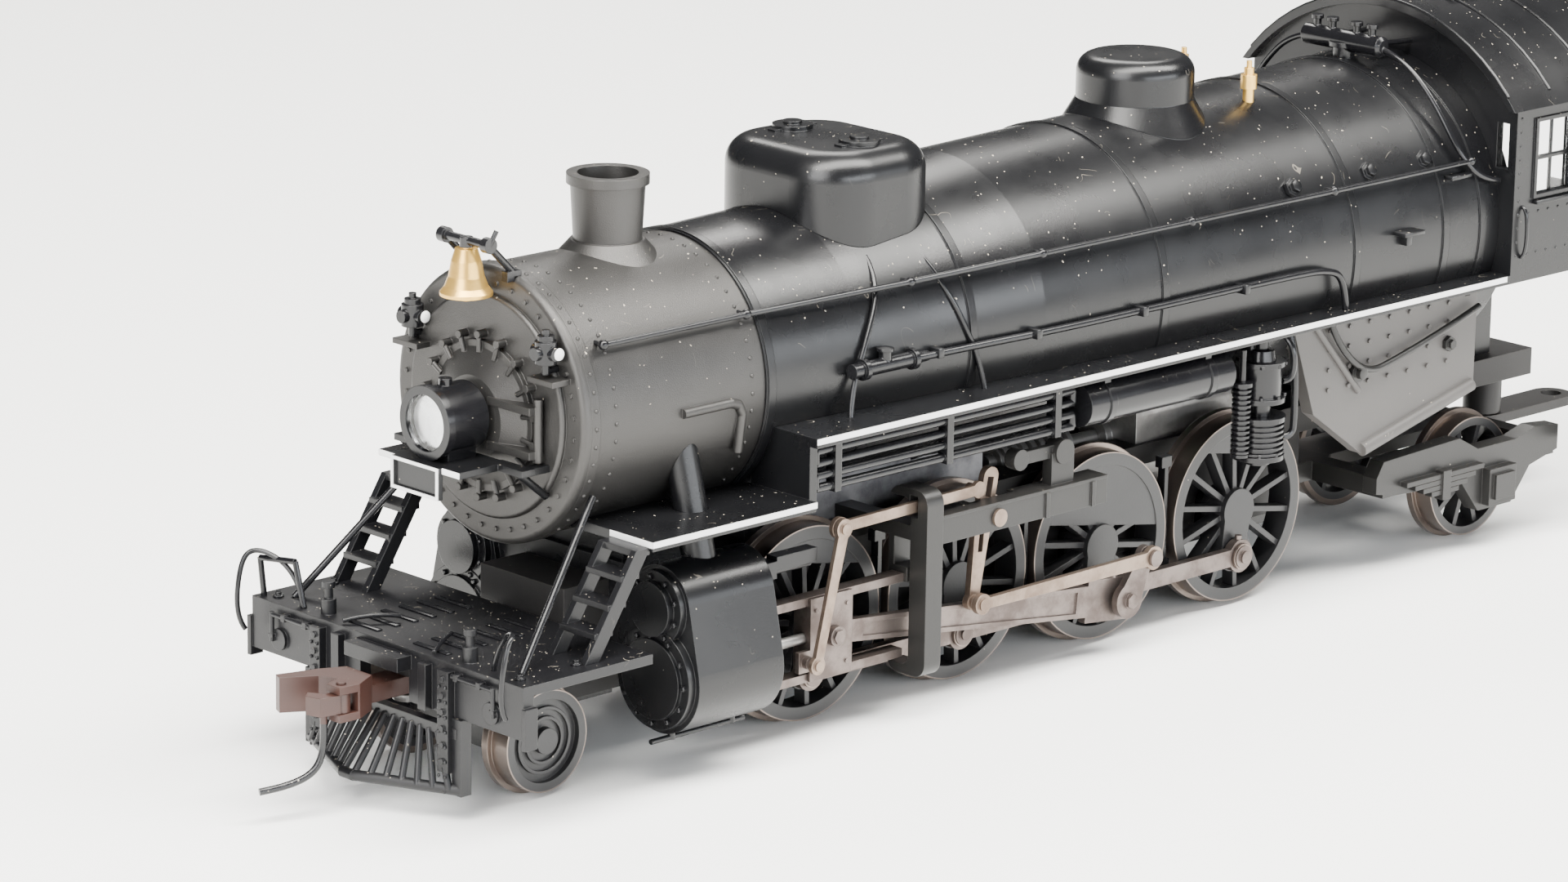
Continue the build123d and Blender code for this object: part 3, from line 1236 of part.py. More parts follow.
def make_radius_rods():
    """Radius rods from the expansion links forward to the combination levers."""
    top_x, top_z = lever_top
    rear_x = link_pivot[0] - 1.6
    with BuildPart() as rods:
        for side in (-1, 1):
            with BuildSketch(outer_plane(side, radius_rod_in, radius_rod_out)):
                strap((top_x, top_z), (rear_x, top_z + 0.3), 0.5, 0.5)
                with Locations((top_x, top_z)):
                    Circle(1.0)
                with Locations((rear_x, top_z + 0.3)):
                    Circle(0.8)
                with Locations((top_x, top_z)):
                    Circle(0.4, mode=Mode.SUBTRACT)
            extrude(amount=radius_rod_out - radius_rod_in)
            with BuildSketch(outer_plane(side, link_in, radius_rod_in)):
                with Locations((rear_x, top_z + 0.3)):
                    Circle(0.45)
            extrude(amount=radius_rod_in - link_in)
    finish(rods, "radius_rods")


def make_combination_levers():
    """Combination levers that hang from the radius rods beside the crossheads."""
    top_x, top_z = lever_top
    with BuildPart() as levers:
        for side in (-1, 1):
            shift = crosshead_shift if side < 0 else crosshead_shift_right
            foot = (first_driver_x + shift - 3.4, axle_z - 1.9)
            with BuildSketch(outer_plane(side, lever_in, lever_out)):
                strap((top_x, top_z), foot, 0.6, 0.5)
                with Locations((top_x, top_z)):
                    Circle(0.95)
                with Locations(foot):
                    Circle(0.85)
            extrude(amount=lever_out - lever_in)
            bar_y(top_x, top_z, side * radius_rod_in, side * lever_in, 0.4)
            bar_y(top_x, top_z, side * lever_out, side * (lever_out + 0.25), 0.5)
            bar_y(foot[0], foot[1], side * lever_out, side * (lever_out + 0.25), 0.5)
    finish(levers, "combination_levers")


# ---------------------------------------------------------------- rods and crossheads
# The rod is as long as the mean distance between its pins, and the big end's bore takes up the rest.
pin_distance_min = 2 * driver_spacing
pin_distance_max = hypot(2 * driver_spacing, crank_throw)
main_rod_length = (pin_distance_min + pin_distance_max) / 2
big_end_play = (pin_distance_max - pin_distance_min) / 2 + 0.06
crosshead_in, crosshead_out = 11.95, 14.15
plate_thick = 0.5
bush_r = 0.5


def make_side_rod(name, side):
    """Coupling rod over the four crankpins of one side, with an eye at each pin."""
    pins = [crank_xz(x, side) for x in driver_x]
    with BuildPart() as rod:
        with BuildSketch(outer_plane(side, side_rod_in, side_rod_out)):
            strap(pins[0], pins[-1], 0.85, 0.85)
            for pin in pins:
                with Locations(pin):
                    Circle(1.65)
            with Locations((pins[2][0], pins[2][1])):
                Circle(2.0)
            for pin in pins:
                with Locations(pin):
                    Circle(crankpin_dia / 2 + running_fit, mode=Mode.SUBTRACT)
        extrude(amount=side_rod_out - side_rod_in)
        # oil cups on the eyes
        for pin in pins:
            middle = (side_rod_in + side_rod_out) / 2
            bar_z(pin[0], side * middle, pin[1] + 1.5, pin[1] + 2.05, 0.35)
    finish(rod, name)


def crosshead_place(side):
    """Centre of the crosshead pin of one side."""
    shift = crosshead_shift if side < 0 else crosshead_shift_right
    return first_driver_x + shift, axle_z


def make_main_rod(name, side):
    """Main rod from the crosshead to the main crankpin, with a square strapped big end."""
    small = crosshead_place(side)
    pin = crank_xz(main_x, side)
    run = hypot(pin[0] - small[0], pin[1] - small[1])
    ux, uz = (pin[0] - small[0]) / run, (pin[1] - small[1]) / run
    big = (small[0] + main_rod_length * ux, small[1] + main_rod_length * uz)
    turn = degrees(atan2(uz, ux))
    with BuildPart() as rod:
        with BuildSketch(outer_plane(side, main_rod_in, main_rod_out)):
            strap(small, big, 1.0, 1.6)
            with Locations(small):
                Circle(1.55)
            with Locations(Location((big[0] - 1.4 * ux, big[1] - 1.4 * uz), turn)):
                Rectangle(6.4, 4.2)
            with Locations(big):
                Circle(crankpin_dia / 2 + big_end_play, mode=Mode.SUBTRACT)
        extrude(amount=main_rod_out - main_rod_in)
        # fluted face
        depth = 0.2
        face = (main_rod_out - depth, main_rod_out)
        with BuildSketch(outer_plane(side, *face)):
            strap((small[0] + 4.5 * ux, small[1] + 4.5 * uz), (big[0] - 6.0 * ux, big[1] - 6.0 * uz),
                  0.6, 1.05)
        extrude(amount=depth, mode=Mode.SUBTRACT)
        # round socket of the small end, which the ball of the bush turns in
        with Locations((small[0], side * cylinder_y, small[1])):
            Sphere(bush_r + running_fit, mode=Mode.SUBTRACT)
        # oil cup over the big end
        middle = (main_rod_in + main_rod_out) / 2
        bar_z(big[0] - 0.5, side * middle, big[1] + 1.8, big[1] + 2.6, 0.4)
    finish(rod, name)


def make_crosshead(name, side):
    """Crosshead: two cheek plates joined by shoes and a front wall that takes the piston rod."""
    x, z = crosshead_place(side)
    shoe_in = guide_top - guide_thick - running_fit
    with BuildPart() as head:
        for low, high in ((crosshead_in, crosshead_in + plate_thick),
                          (crosshead_out - plate_thick, crosshead_out)):
            block(x - 2.9, x + 2.4, side * low, side * high, z - shoe_in, z + shoe_in)
        block(x - 2.9, x + 2.4, side * crosshead_in, side * crosshead_out, z + 2.35, z + shoe_in)
        block(x - 2.9, x + 2.4, side * crosshead_in, side * crosshead_out, z - shoe_in, z - 2.35)
        block(x - 2.9, x - 2.0, side * crosshead_in, side * crosshead_out, z - 2.4, z + 2.4)
        # forward ear for the lever's pin, and lips that grip the guide bars from outside
        block(x - 4.3, x - 2.9, side * (crosshead_out - plate_thick), side * crosshead_out, z - 2.9,
              z - 0.9)
        bar_y(x - 3.4, z - 1.9, side * crosshead_out, side * (crosshead_out + 0.6), 0.6)
        for sign in (-1, 1):
            block(x - 2.9, x + 2.4, side * (13.8 + running_fit), side * crosshead_out,
                  z + sign * (shoe_in - 0.4), z + sign * (guide_top - 0.1))
        for dx in (-2.2, 1.7):
            for dz in (-2.75, 2.75):
                bar_y(x + dx, z + dz, side * crosshead_out, side * (crosshead_out + 0.15), 0.22)
        bar_y(x, z, side * (crosshead_out - plate_thick), side * crosshead_out, 0.6 + running_fit,
              Mode.SUBTRACT)
        bar_x(x - 3.0, x - 1.9, side * cylinder_y, z, piston_rod_r + running_fit, Mode.SUBTRACT)
    finish(head, name)


def make_crosshead_pin(name, side):
    """Pin through the crosshead's outer cheek, with a hexagon head."""
    x, z = crosshead_place(side)
    with BuildPart() as pin:
        bar_y(x, z, side * (main_rod_out + running_fit), side * (crosshead_out + 0.05), 0.6)
        with BuildSketch(outer_plane(side, crosshead_out + 0.05, crosshead_out + 0.7, x, z)):
            Circle(0.95)
        extrude(amount=0.65)
        with BuildSketch(outer_plane(side, crosshead_out + 0.7, crosshead_out + 0.95, x, z)):
            RegularPolygon(0.7, 6)
        extrude(amount=0.25)
    finish(pin, name)


def make_piston_rod(name, side):
    """Piston rod from the crosshead into the cylinder."""
    x, z = crosshead_place(side)
    with BuildPart() as rod:
        bar_x(cylinder_front_x + 2.0 + 5.0 + (x - first_driver_x), x - 1.85, side * cylinder_y, z,
              piston_rod_r)
    finish(rod, name)


def make_rod_bush(name, side):
    """Ball bush between the crosshead and the main rod's small end."""
    x, z = crosshead_place(side)
    with BuildPart() as bush:
        with Locations((x, side * cylinder_y, z)):
            Sphere(bush_r)
    finish(bush, name)


def return_pin(side):
    """Centre of the return crank's pin; it leads the main crank by a right angle."""
    return crank_xz(main_x, side, eccentric_throw, 90.0)


def make_return_cranks():
    """Return cranks clamped on the ends of the main crankpins."""
    with BuildPart() as cranks:
        for side in (-1, 1):
            pin = crank_xz(main_x, side)
            end = return_pin(side)
            with BuildSketch(outer_plane(side, return_crank_in, return_crank_out)):
                strap(pin, end, 1.6, 0.95)
                with Locations(pin):
                    Circle(1.75)
                with Locations(end):
                    Circle(1.0)
            extrude(amount=return_crank_out - return_crank_in)
            bar_y(pin[0], pin[1], side * return_crank_out, side * (return_crank_out + 0.2), 0.8)
            bar_y(end[0], end[1], side * return_crank_out, side * (eccentric_rod_out + 0.05), 0.5)
            bar_y(end[0], end[1], side * (eccentric_rod_out + 0.05), side * (eccentric_rod_out + 0.35),
                  0.8)
    finish(cranks, "return_cranks")


def make_eccentric_rod(name, side):
    """Eccentric rod from the return crank's pin forward to the foot of the expansion link."""
    rear = return_pin(side)
    rest = return_pin(-1)
    foot = (link_foot[0] + rear[0] - rest[0], link_foot[1] + rear[1] - rest[1])
    with BuildPart() as rod:
        with BuildSketch(outer_plane(side, eccentric_rod_in, eccentric_rod_out)):
            strap(foot, rear, 0.5, 0.7)
            with Locations(rear):
                Circle(1.15)
            with Locations(foot):
                Circle(1.0)
            with Locations(rear):
                Circle(0.5 + running_fit, mode=Mode.SUBTRACT)
        extrude(amount=eccentric_rod_out - eccentric_rod_in)
        bar_y(foot[0], foot[1], side * eccentric_rod_out, side * (eccentric_rod_out + 0.25), 0.6)
    finish(rod, name)


# ---------------------------------------------------------------- trucks, couplers and drawbar
def make_lead_truck():
    """Radius bar of the lead truck, with its pivot pin and axle boxes."""
    axle_height = rail_z + lead_dia / 2
    with BuildPart() as truck:
        block(lead_x - 2.4, lead_x + 2.4, -5.6, 5.6, axle_height - 1.5, axle_height + 1.2)
        block(lead_x + 2.0, truck_pivot_x + 2.0, -2.2, 2.2, axle_height - 0.4, axle_height + 1.2)
        bar_z(truck_pivot_x, 0, axle_height - 0.4, frame_bottom + 3.0, pivot_r)
        bar_y(lead_x, axle_height, -5.6, 5.6, 0.75 + running_fit, Mode.SUBTRACT)
    finish(truck, "lead_truck")


def make_trailing_truck():
    """Cast trailing truck: outside frames with axle boxes, cross bars and the pivot pin."""
    axle_height = rail_z + trailing_dia / 2
    x0, x1 = trailing_pivot_x - 3.0, trailing_x + 9.2
    with BuildPart() as truck:
        bar_z(trailing_pivot_x, 0, 9.0, tail_bottom + 2.4, pivot_r)
        block(x0, trailing_pivot_x + 3.0, -4.0, 4.0, 8.2, 10.2)
        block(trailing_pivot_x, trailing_pivot_x + 2.4, -13.4, 13.4, 8.2, 10.2)
        block(trailing_pivot_x, x1, -3.0, 3.0, 8.6, 10.0)
        block(x1 - 2.2, x1, -13.4, 13.4, 8.2, 10.2)
        for side in (-1, 1):
            with BuildSketch(outer_plane(side, 11.6, 13.4)):
                with BuildLine():
                    Polyline((x0 + 2, 10.4), (x0 + 3, 12.0), (trailing_x - 6, 12.4),
                             (trailing_x - 3, 10.8),
                             (trailing_x + 3, 10.8), (trailing_x + 6, 11.6), (x1 + 0.6,
                                                                              11.2), (x1 + 0.6, 8.6),
                             (trailing_x + 5.4, 7.6), (trailing_x + 2.6, 4.2), (trailing_x - 2.6, 4.2),
                             (trailing_x - 5.4, 7.6), (x0 + 5, 8.2), (x0 + 2, 8.8), close=True)
                make_face()
            extrude(amount=1.8)
            block(trailing_x - 2.1, trailing_x + 2.1, side * 13.4, side * 14.4, axle_height - 1.9,
                  axle_height + 1.9)
            block(trailing_x - 1.5, trailing_x + 1.5, side * 14.4, side * 14.8, axle_height - 1.3,
                  axle_height + 1.3)
            # leaf spring over the axle box
            for i in range(4):
                half = 6.0 - 1.3 * i
                block(trailing_x - 9 - half, trailing_x - 9 + half, side * 13.4, side * 14.3,
                      9.0 - 0.55 * i, 9.5 - 0.55 * i)
            block(trailing_x - 9.6, trailing_x - 8.4, side * 13.4, side * 14.5, 6.8, 9.8)
        bar_y(trailing_x, axle_height, -12.8, 12.8, 0.75 + running_fit, Mode.SUBTRACT)
    finish(truck, "trailing_truck")


coupler_head_x = front_x + 1.8
knuckle_pivot = (coupler_head_x - 8.3, -1.9)
trip_pin_r = 0.33


def make_coupler():
    """Front coupler: shank on its pivot, guard arm and the jaws that hold the knuckle."""
    low, high = coupler_z - coupler_half_h, coupler_z + coupler_half_h
    x0 = coupler_head_x
    with BuildPart() as coupler:
        with BuildSketch(Plane.XY.offset(low + 0.5)):
            with Locations(((x0 - 5.4 + coupler_pivot_x) / 2, 0)):
                Rectangle(coupler_pivot_x - x0 + 5.4, 2.6)
            with Locations((coupler_pivot_x, 0)):
                Circle(1.3)
        extrude(amount=1.6)
        # head
        with BuildSketch(Plane.XY.offset(low)):
            with BuildLine():
                Polyline((x0 - 4.6, -1.6), (x0 - 4.6, 1.8), (x0 - 7.0, 2.9), (x0 - 10.8, 4.0),
                         (x0 - 11.2, 3.0),
                         (x0 - 8.2, 1.3), (x0 - 7.4, -0.4), (x0 - 9.2, -1.0), (x0 - 9.2,
                                                                               -2.8), (x0 - 7.0, -2.9),
                         close=True)
            make_face()
        extrude(amount=high - low)
        # fork gap for the knuckle and its pin hole
        block(x0 - 10, x0 - 7.2, -3.2, 0.2, low + 0.7, high - 0.7, Mode.SUBTRACT)
        bar_z(knuckle_pivot[0], knuckle_pivot[1], low, high, 0.45, Mode.SUBTRACT)
        bar_z(coupler_pivot_x, 0, low, high, 0.8 + 0.1, Mode.SUBTRACT)
    finish(coupler, "coupler")


def make_knuckle():
    """Knuckle that turns in the coupler's jaws, with its pin and the curved trip pin below it."""
    low, high = coupler_z - coupler_half_h, coupler_z + coupler_half_h
    px, py = knuckle_pivot
    with BuildPart() as knuckle:
        with BuildSketch(Plane.XY.offset(low + 0.75)):
            with Locations((px, py)):
                Circle(0.8)
            with BuildLine():
                Polyline((px - 0.6, py - 0.7), (px - 2.6, py - 0.3), (px - 3.0, py + 1.2),
                         (px - 2.2, py + 1.9),
                         (px - 1.6, py + 1.0), (px - 1.3, py + 0.5), (px, py + 0.6), close=True)
            make_face()
        extrude(amount=high - low - 1.5)
        bar_z(px, py, low - 0.2, high + 0.2, 0.4)
        # trip pin: straight down, then curving forward and up
        with BuildLine() as curve:
            Spline((px - 1.5, py + 0.7, low + 1.0), (px - 1.55, py + 0.7, 6.2),
                   (px - 2.2, py + 0.85, 4.6),
                   (px - 3.8, py + 1.4, 3.6), (px - 7.0, py + 2.7, 3.0))
        with BuildSketch(Plane(origin=curve.line @ 0, z_dir=curve.line % 0)) as wire:
            Circle(trip_pin_r)
        sweep(wire.sketch, path=curve.line)
    finish(knuckle, "knuckle")


def make_drawbar():
    """Drawbar to the tender, with an eye at each end."""
    length = 11.5
    with BuildPart() as bar:
        with BuildSketch(Plane.XY.offset(drawbar_z)):
            with Locations((drawbar_x + length / 2, 0)):
                SlotCenterToCenter(length, 4.4)
            with Locations((drawbar_x, 0)):
                Circle(drawbar_pin_r + pivot_gap, mode=Mode.SUBTRACT)
            with Locations((drawbar_x + length, 0)):
                Circle(1.1, mode=Mode.SUBTRACT)
        extrude(amount=drawbar_thick)
    finish(bar, "drawbar")


# ---------------------------------------------------------------- build everything
os.makedirs("parts", exist_ok=True)

for i in range(4):
    make_driver_set(i)
make_disc_wheelset("lead_wheelset", lead_x, rail_z + lead_dia / 2, lead_dia / 2, 0, wheel_face)
make_disc_wheelset("trailing_wheelset", trailing_x, rail_z + trailing_dia / 2, trailing_dia / 2, 10, 12.6)
make_drive_gear()
make_chassis_frame()
make_keeper_plate()
make_shell_screws()
make_motor()
make_motor_rotor()
make_ballast_weight()
make_circuit_board()
make_boiler_shell()
make_smokebox()
make_smokebox_front()
make_sand_dome()
make_steam_dome()
make_safety_valves()
make_headlight()
make_headlight_lens()
make_headlight_bracket()
make_bell()
make_marker_lamps()
make_running_boards()
make_pilot_deck()
make_pilot()
make_deck_ladders()
make_handrails()
make_air_reservoirs()
make_air_pump()
make_firebox_sides()
make_cab()
make_cylinders()
make_guide_bars()
make_motion_hanger()
make_expansion_links()
make_radius_rods()
make_combination_levers()
make_return_cranks()
for side, word in ((-1, "left"), (1, "right")):
    make_side_rod("side_rod_" + word, side)
    make_main_rod("main_rod_" + word, side)
    make_crosshead("crosshead_" + word, side)
    make_crosshead_pin("crosshead_pin_" + word, side)
    make_piston_rod("piston_rod_" + word, side)
    make_rod_bush("rod_bush_" + word, side)
    make_eccentric_rod("eccentric_rod_" + word, side)
make_lead_truck()
make_trailing_truck()
make_coupler()
make_knuckle()
make_drawbar()
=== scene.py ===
# %% [markdown]
# # Finishing a model steam locomotive
# The engine is an HO-scale 2-8-2: a cast and moulded toy about as long as a hand. Its shapes come ready
# made, in metres, with every node already in its place. What is left is what makes it look real: paint,
# metal, dust, glass, and the small separate pieces that a builder glues on last. We work from the camera
# outwards: first the view and the light, then the finishes, then the pieces from the front to the cab.

# %% Load the frame and keep its size
import bpy
from math import cos, pi, radians, sin, sqrt
from mathutils import Matrix, Vector


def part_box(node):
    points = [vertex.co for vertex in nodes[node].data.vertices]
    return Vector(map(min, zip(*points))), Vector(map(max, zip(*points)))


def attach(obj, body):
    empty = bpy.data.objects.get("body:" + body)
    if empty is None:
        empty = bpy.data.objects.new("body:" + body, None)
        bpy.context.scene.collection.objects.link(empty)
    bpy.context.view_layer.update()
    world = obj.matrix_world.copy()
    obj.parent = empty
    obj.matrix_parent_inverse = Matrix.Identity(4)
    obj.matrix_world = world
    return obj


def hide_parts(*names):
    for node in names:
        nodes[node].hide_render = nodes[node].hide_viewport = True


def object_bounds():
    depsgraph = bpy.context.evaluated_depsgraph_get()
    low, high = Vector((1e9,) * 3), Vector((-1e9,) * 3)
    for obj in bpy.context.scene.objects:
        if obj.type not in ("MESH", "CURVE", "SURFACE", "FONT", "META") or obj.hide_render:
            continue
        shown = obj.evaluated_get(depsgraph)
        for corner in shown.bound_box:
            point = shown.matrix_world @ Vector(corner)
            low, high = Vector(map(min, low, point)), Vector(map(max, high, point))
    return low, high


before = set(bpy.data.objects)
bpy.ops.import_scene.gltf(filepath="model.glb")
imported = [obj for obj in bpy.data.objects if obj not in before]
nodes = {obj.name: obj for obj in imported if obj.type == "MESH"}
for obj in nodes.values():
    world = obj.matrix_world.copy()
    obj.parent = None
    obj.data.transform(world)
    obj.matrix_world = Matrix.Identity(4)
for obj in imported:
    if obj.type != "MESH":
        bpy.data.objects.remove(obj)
size_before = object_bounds()
mm = 0.001
low, high = size_before
print("engine is", round((high.x - low.x) / mm, 1), "mm long and", round((high.z - low.z) / mm, 1),
      "mm tall")

# %% [markdown]
# ## The view
# The engine is seen from its front left corner, a little from above, with a long lens from about half a
# metre: the way small models are usually shown, because a short lens close up makes the nose bulge. A
# camera can be aimed with a tracking constraint, but a matrix built from three directions keeps the
# slight roll of a hand-levelled tripod as well.

# %% Place the camera
turn, lift, roll = radians(-44.07), radians(15.11), radians(0.92)
back = Vector((sin(turn) * cos(lift), -cos(turn) * cos(lift), sin(lift)))
across = Vector((0, 0, 1)).cross(back).normalized()
upward = back.cross(across)
level = cos(roll) * across + sin(roll) * upward
upright = cos(roll) * upward - sin(roll) * across
lead_low, lead_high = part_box("driver_set_1")
first_axle_x = (lead_low.x + lead_high.x) / 2
rail_top = 0.5 * mm
eye = Vector((first_axle_x, 0, rail_top)) + Vector((-358.52, -376.86, 164.93)) * mm
bpy.ops.object.camera_add(location=eye)
camera = bpy.context.object
camera.name = "camera"
camera.matrix_world = Matrix.Translation(eye) @ Matrix((level, upright, back)).transposed().to_4x4()
camera.data.sensor_width = 36.0
camera.data.lens = 134.58
camera.data.clip_start, camera.data.clip_end = 0.01, 20.0
bpy.context.scene.camera = camera
print("camera stands", round((eye - (low + high) / 2).length, 3), "m from the engine")

# %% [markdown]
# ## Floor and light
# Black models live on their reflections: what the eye reads as the shape of the boiler is the picture of
# the lamps in it. So the lamps are big and soft. One hangs overhead and slightly in front, one stands to
# the left of the nose, and a weaker one fills the far side. The floor is plain and pale and bounces light
# up under the running boards.

# %% Lay the floor
def let_go():
    """Leaves nothing selected and nothing active, so the next operator only touches what it makes."""
    if bpy.context.object and bpy.context.object.mode != "OBJECT":
        bpy.ops.object.mode_set(mode="OBJECT")
    bpy.ops.object.select_all(action="DESELECT")
    bpy.context.view_layer.objects.active = None


let_go()
bpy.ops.mesh.primitive_circle_add(vertices=96, radius=3.0, fill_type="NGON", location=(0, 0, 0))
floor = bpy.context.object
floor.name = "floor"
floor_paint = bpy.data.materials.new("pale floor")
floor_paint.use_nodes = True
floor_paint.node_tree.nodes["Principled BSDF"].inputs["Base Color"].default_value = (0.93, 0.93, 0.92,
                                                                                     1)
floor_paint.node_tree.nodes["Principled BSDF"].inputs["Roughness"].default_value = 0.7
floor.data.materials.append(floor_paint)
print("floor is", round(floor.dimensions.x, 1), "m across")

# %% Hang the lamps
def lamp(name, place, aim, width, height, power, tint=(1.0, 1.0, 1.0)):
    """A soft rectangular lamp at a place, turned to face a point."""
    bpy.ops.object.light_add(type="AREA", location=place)
    made = bpy.context.object
    made.name = name
    made.data.shape = "RECTANGLE"
    made.data.size, made.data.size_y = width, height
    made.data.energy = power
    made.data.color = tint
    made.rotation_euler = (Vector(aim) - Vector(place)).to_track_quat("-Z", "Y").to_euler()
    return made


middle = (low + high) / 2
lamp("overhead lamp", (-0.05, -0.22, 0.72), middle, 1.5, 0.34, 44.0, (1.0, 0.985, 0.94))
lamp("nose lamp", (-0.75, -0.20, 0.34), middle, 0.45, 0.5, 9.0)
lamp("side lamp", (0.10, -0.9, 0.20), middle, 1.2, 0.22, 10.0, (0.92, 0.96, 1.0))
lamp("far lamp", (0.45, 0.55, 0.75), middle, 0.5, 0.4, 7.0, (1.0, 0.98, 0.94))
world = bpy.data.worlds.new("pale room")
bpy.context.scene.world = world
world.use_nodes = True
world.node_tree.nodes["Background"].inputs["Color"].default_value = (0.95, 0.97, 1.0, 1)
world.node_tree.nodes["Background"].inputs["Strength"].default_value = 0.09

# %% [markdown]
# ## Effects that several finishes share
# A finish is more than a colour. Four effects turn up again and again on this engine: the soft rounding
# that every moulded edge has, the fine unevenness of sprayed paint, the specks of dust and lint that
# settle on top of a model, and the brushed grain of stamped nickel rods. Each is built once as a node
# group with named sockets, and each material gives it its own numbers. The groups only pass on masks,
# heights and normals: the shader itself stays in the material.

# %% Helpers for building node trees
def put(tree, kind, settings=None, **values):
    """Adds a node, sets its properties and its unlinked inputs, and returns it."""
    made = tree.nodes.new(kind)
    for name, value in (settings or {}).items():
        setattr(made, name, value)
    for name, value in values.items():
        made.inputs[name.replace("_", " ")].default_value = value
    return made


def join(tree, source, target):
    """Links one socket to another."""
    tree.links.new(source, target)


def sums(tree, kind, first, second=None):
    """A math node of one kind; numbers are typed in and sockets are linked."""
    made = put(tree, "ShaderNodeMath", {"operation": kind})
    for i, value in enumerate((first, second)):
        if isinstance(value, (int, float)):
            made.inputs[i].default_value = value
        elif value is not None:
            join(tree, value, made.inputs[i])
    return made.outputs[0]


def ramp(tree, source, low_in, high_in, low_out=0.0, high_out=1.0):
    """Maps one range of a value smoothly onto another."""
    made = put(tree, "ShaderNodeMapRange", {"interpolation_type": "SMOOTHSTEP"},
               From_Min=low_in, From_Max=high_in, To_Min=low_out, To_Max=high_out)
    join(tree, source, made.inputs["Value"])
    return made.outputs["Result"]


def group(name, inputs, outputs):
    """An empty node group with its sockets, and its input and output nodes."""
    tree = bpy.data.node_groups.new(name, "ShaderNodeTree")
    for label, default in inputs:
        socket = tree.interface.new_socket(label, in_out="INPUT", socket_type="NodeSocketFloat")
        socket.default_value = default
    for label, kind in outputs:
        tree.interface.new_socket(label, in_out="OUTPUT", socket_type=kind)
    return tree, tree.nodes.new("NodeGroupInput"), tree.nodes.new("NodeGroupOutput")


NUMBER, ARROW = "NodeSocketFloat", "NodeSocketVector"
print("helpers ready")

# %% [markdown]
# **Softened edges.** A moulding has no knife edges: each one carries a radius of about a tenth of a
# millimetre, and it is that radius which catches the light. The Bevel node fakes it in shading. Where its
# normal differs from the true one there is an edge, so the difference also gives a wear mask for free.

# %% Group: softened edges
edges_group, taken, given = group("Softened Edges", [("Radius", 0.0001)],
                                  [("Normal", ARROW), ("Edge", NUMBER)])
rounding = put(edges_group, "ShaderNodeBevel", {"samples": 4})
shape = put(edges_group, "ShaderNodeNewGeometry")
likeness = put(edges_group, "ShaderNodeVectorMath", {"operation": "DOT_PRODUCT"})
join(edges_group, taken.outputs["Radius"], rounding.inputs["Radius"])
join(edges_group, rounding.outputs["Normal"], likeness.inputs[0])
join(edges_group, shape.outputs["Normal"], likeness.inputs[1])
join(edges_group, rounding.outputs["Normal"], given.inputs["Normal"])
difference = sums(edges_group, "SUBTRACT", 1.0, likeness.outputs["Value"])
join(edges_group, ramp(edges_group, difference, 0.02, 0.20), given.inputs["Edge"])
print("built", edges_group.name)

# %% [markdown]
# **Sprayed grain.** Paint out of an airbrush dries slightly pebbled, and never shines evenly. One fine
# noise gives the height for a bump, and one broad noise gives patches where the shine is a little duller.

# %% Group: sprayed grain
grain_group, taken, given = group("Sprayed Grain", [("Pebbles", 6000.0), ("Patches", 120.0)],
                                  [("Height", NUMBER), ("Patch", NUMBER)])
place = put(grain_group, "ShaderNodeTexCoord")
pebbles = put(grain_group, "ShaderNodeTexNoise", Detail=3.0, Roughness=0.6)
patches = put(grain_group, "ShaderNodeTexNoise", Detail=4.0, Roughness=0.6)
for noise, size in ((pebbles, "Pebbles"), (patches, "Patches")):
    join(grain_group, place.outputs["Object"], noise.inputs["Vector"])
    join(grain_group, taken.outputs[size], noise.inputs["Scale"])
join(grain_group, pebbles.outputs["Fac"], given.inputs["Height"])
join(grain_group, ramp(grain_group, patches.outputs["Fac"], 0.3, 0.7), given.inputs["Patch"])
print("built", grain_group.name)

# %% [markdown]
# **Settled dust.** On a model this small, dust looks like gravel: pale specks a fifth of a millimetre
# across, and here and there a hair of lint. It lies on what faces up and thins out down the sides. Voronoi
# cells with one speck each, most of them switched off at random, look scattered rather than gridded.

# %% Group: settled dust
dust_group, taken, given = group("Settled Dust", [("Amount", 0.5), ("Cells", 900.0)],
                                 [("Dust", NUMBER)])
place = put(dust_group, "ShaderNodeTexCoord")
wobble = put(dust_group, "ShaderNodeTexNoise", Scale=2500.0, Detail=1.0)
stir = put(dust_group, "ShaderNodeVectorMath", {"operation": "MULTIPLY_ADD"})
stir.inputs[1].default_value = (0.00035, 0.00035, 0.00035)
join(dust_group, place.outputs["Object"], wobble.inputs["Vector"])
join(dust_group, wobble.outputs["Color"], stir.inputs[0])
join(dust_group, place.outputs["Object"], stir.inputs[2])
cells = put(dust_group, "ShaderNodeTexVoronoi", Randomness=1.0)
join(dust_group, stir.outputs["Vector"], cells.inputs["Vector"])
join(dust_group, taken.outputs["Cells"], cells.inputs["Scale"])
lottery = put(dust_group, "ShaderNodeSeparateColor")
join(dust_group, cells.outputs["Color"], lottery.inputs["Color"])
share = sums(dust_group, "SUBTRACT", 1.0, sums(dust_group, "MULTIPLY", taken.outputs["Amount"], 0.9))
drawn = sums(dust_group, "GREATER_THAN", lottery.outputs["Red"], share)
width = sums(dust_group, "MULTIPLY_ADD", lottery.outputs["Green"], 0.13)
width.node.inputs[2].default_value = 0.05
speck = sums(dust_group, "LESS_THAN", cells.outputs["Distance"], width)
lint_noise = put(dust_group, "ShaderNodeTexNoise", Scale=260.0, Detail=1.0, Distortion=0.6)
join(dust_group, place.outputs["Object"], lint_noise.inputs["Vector"])
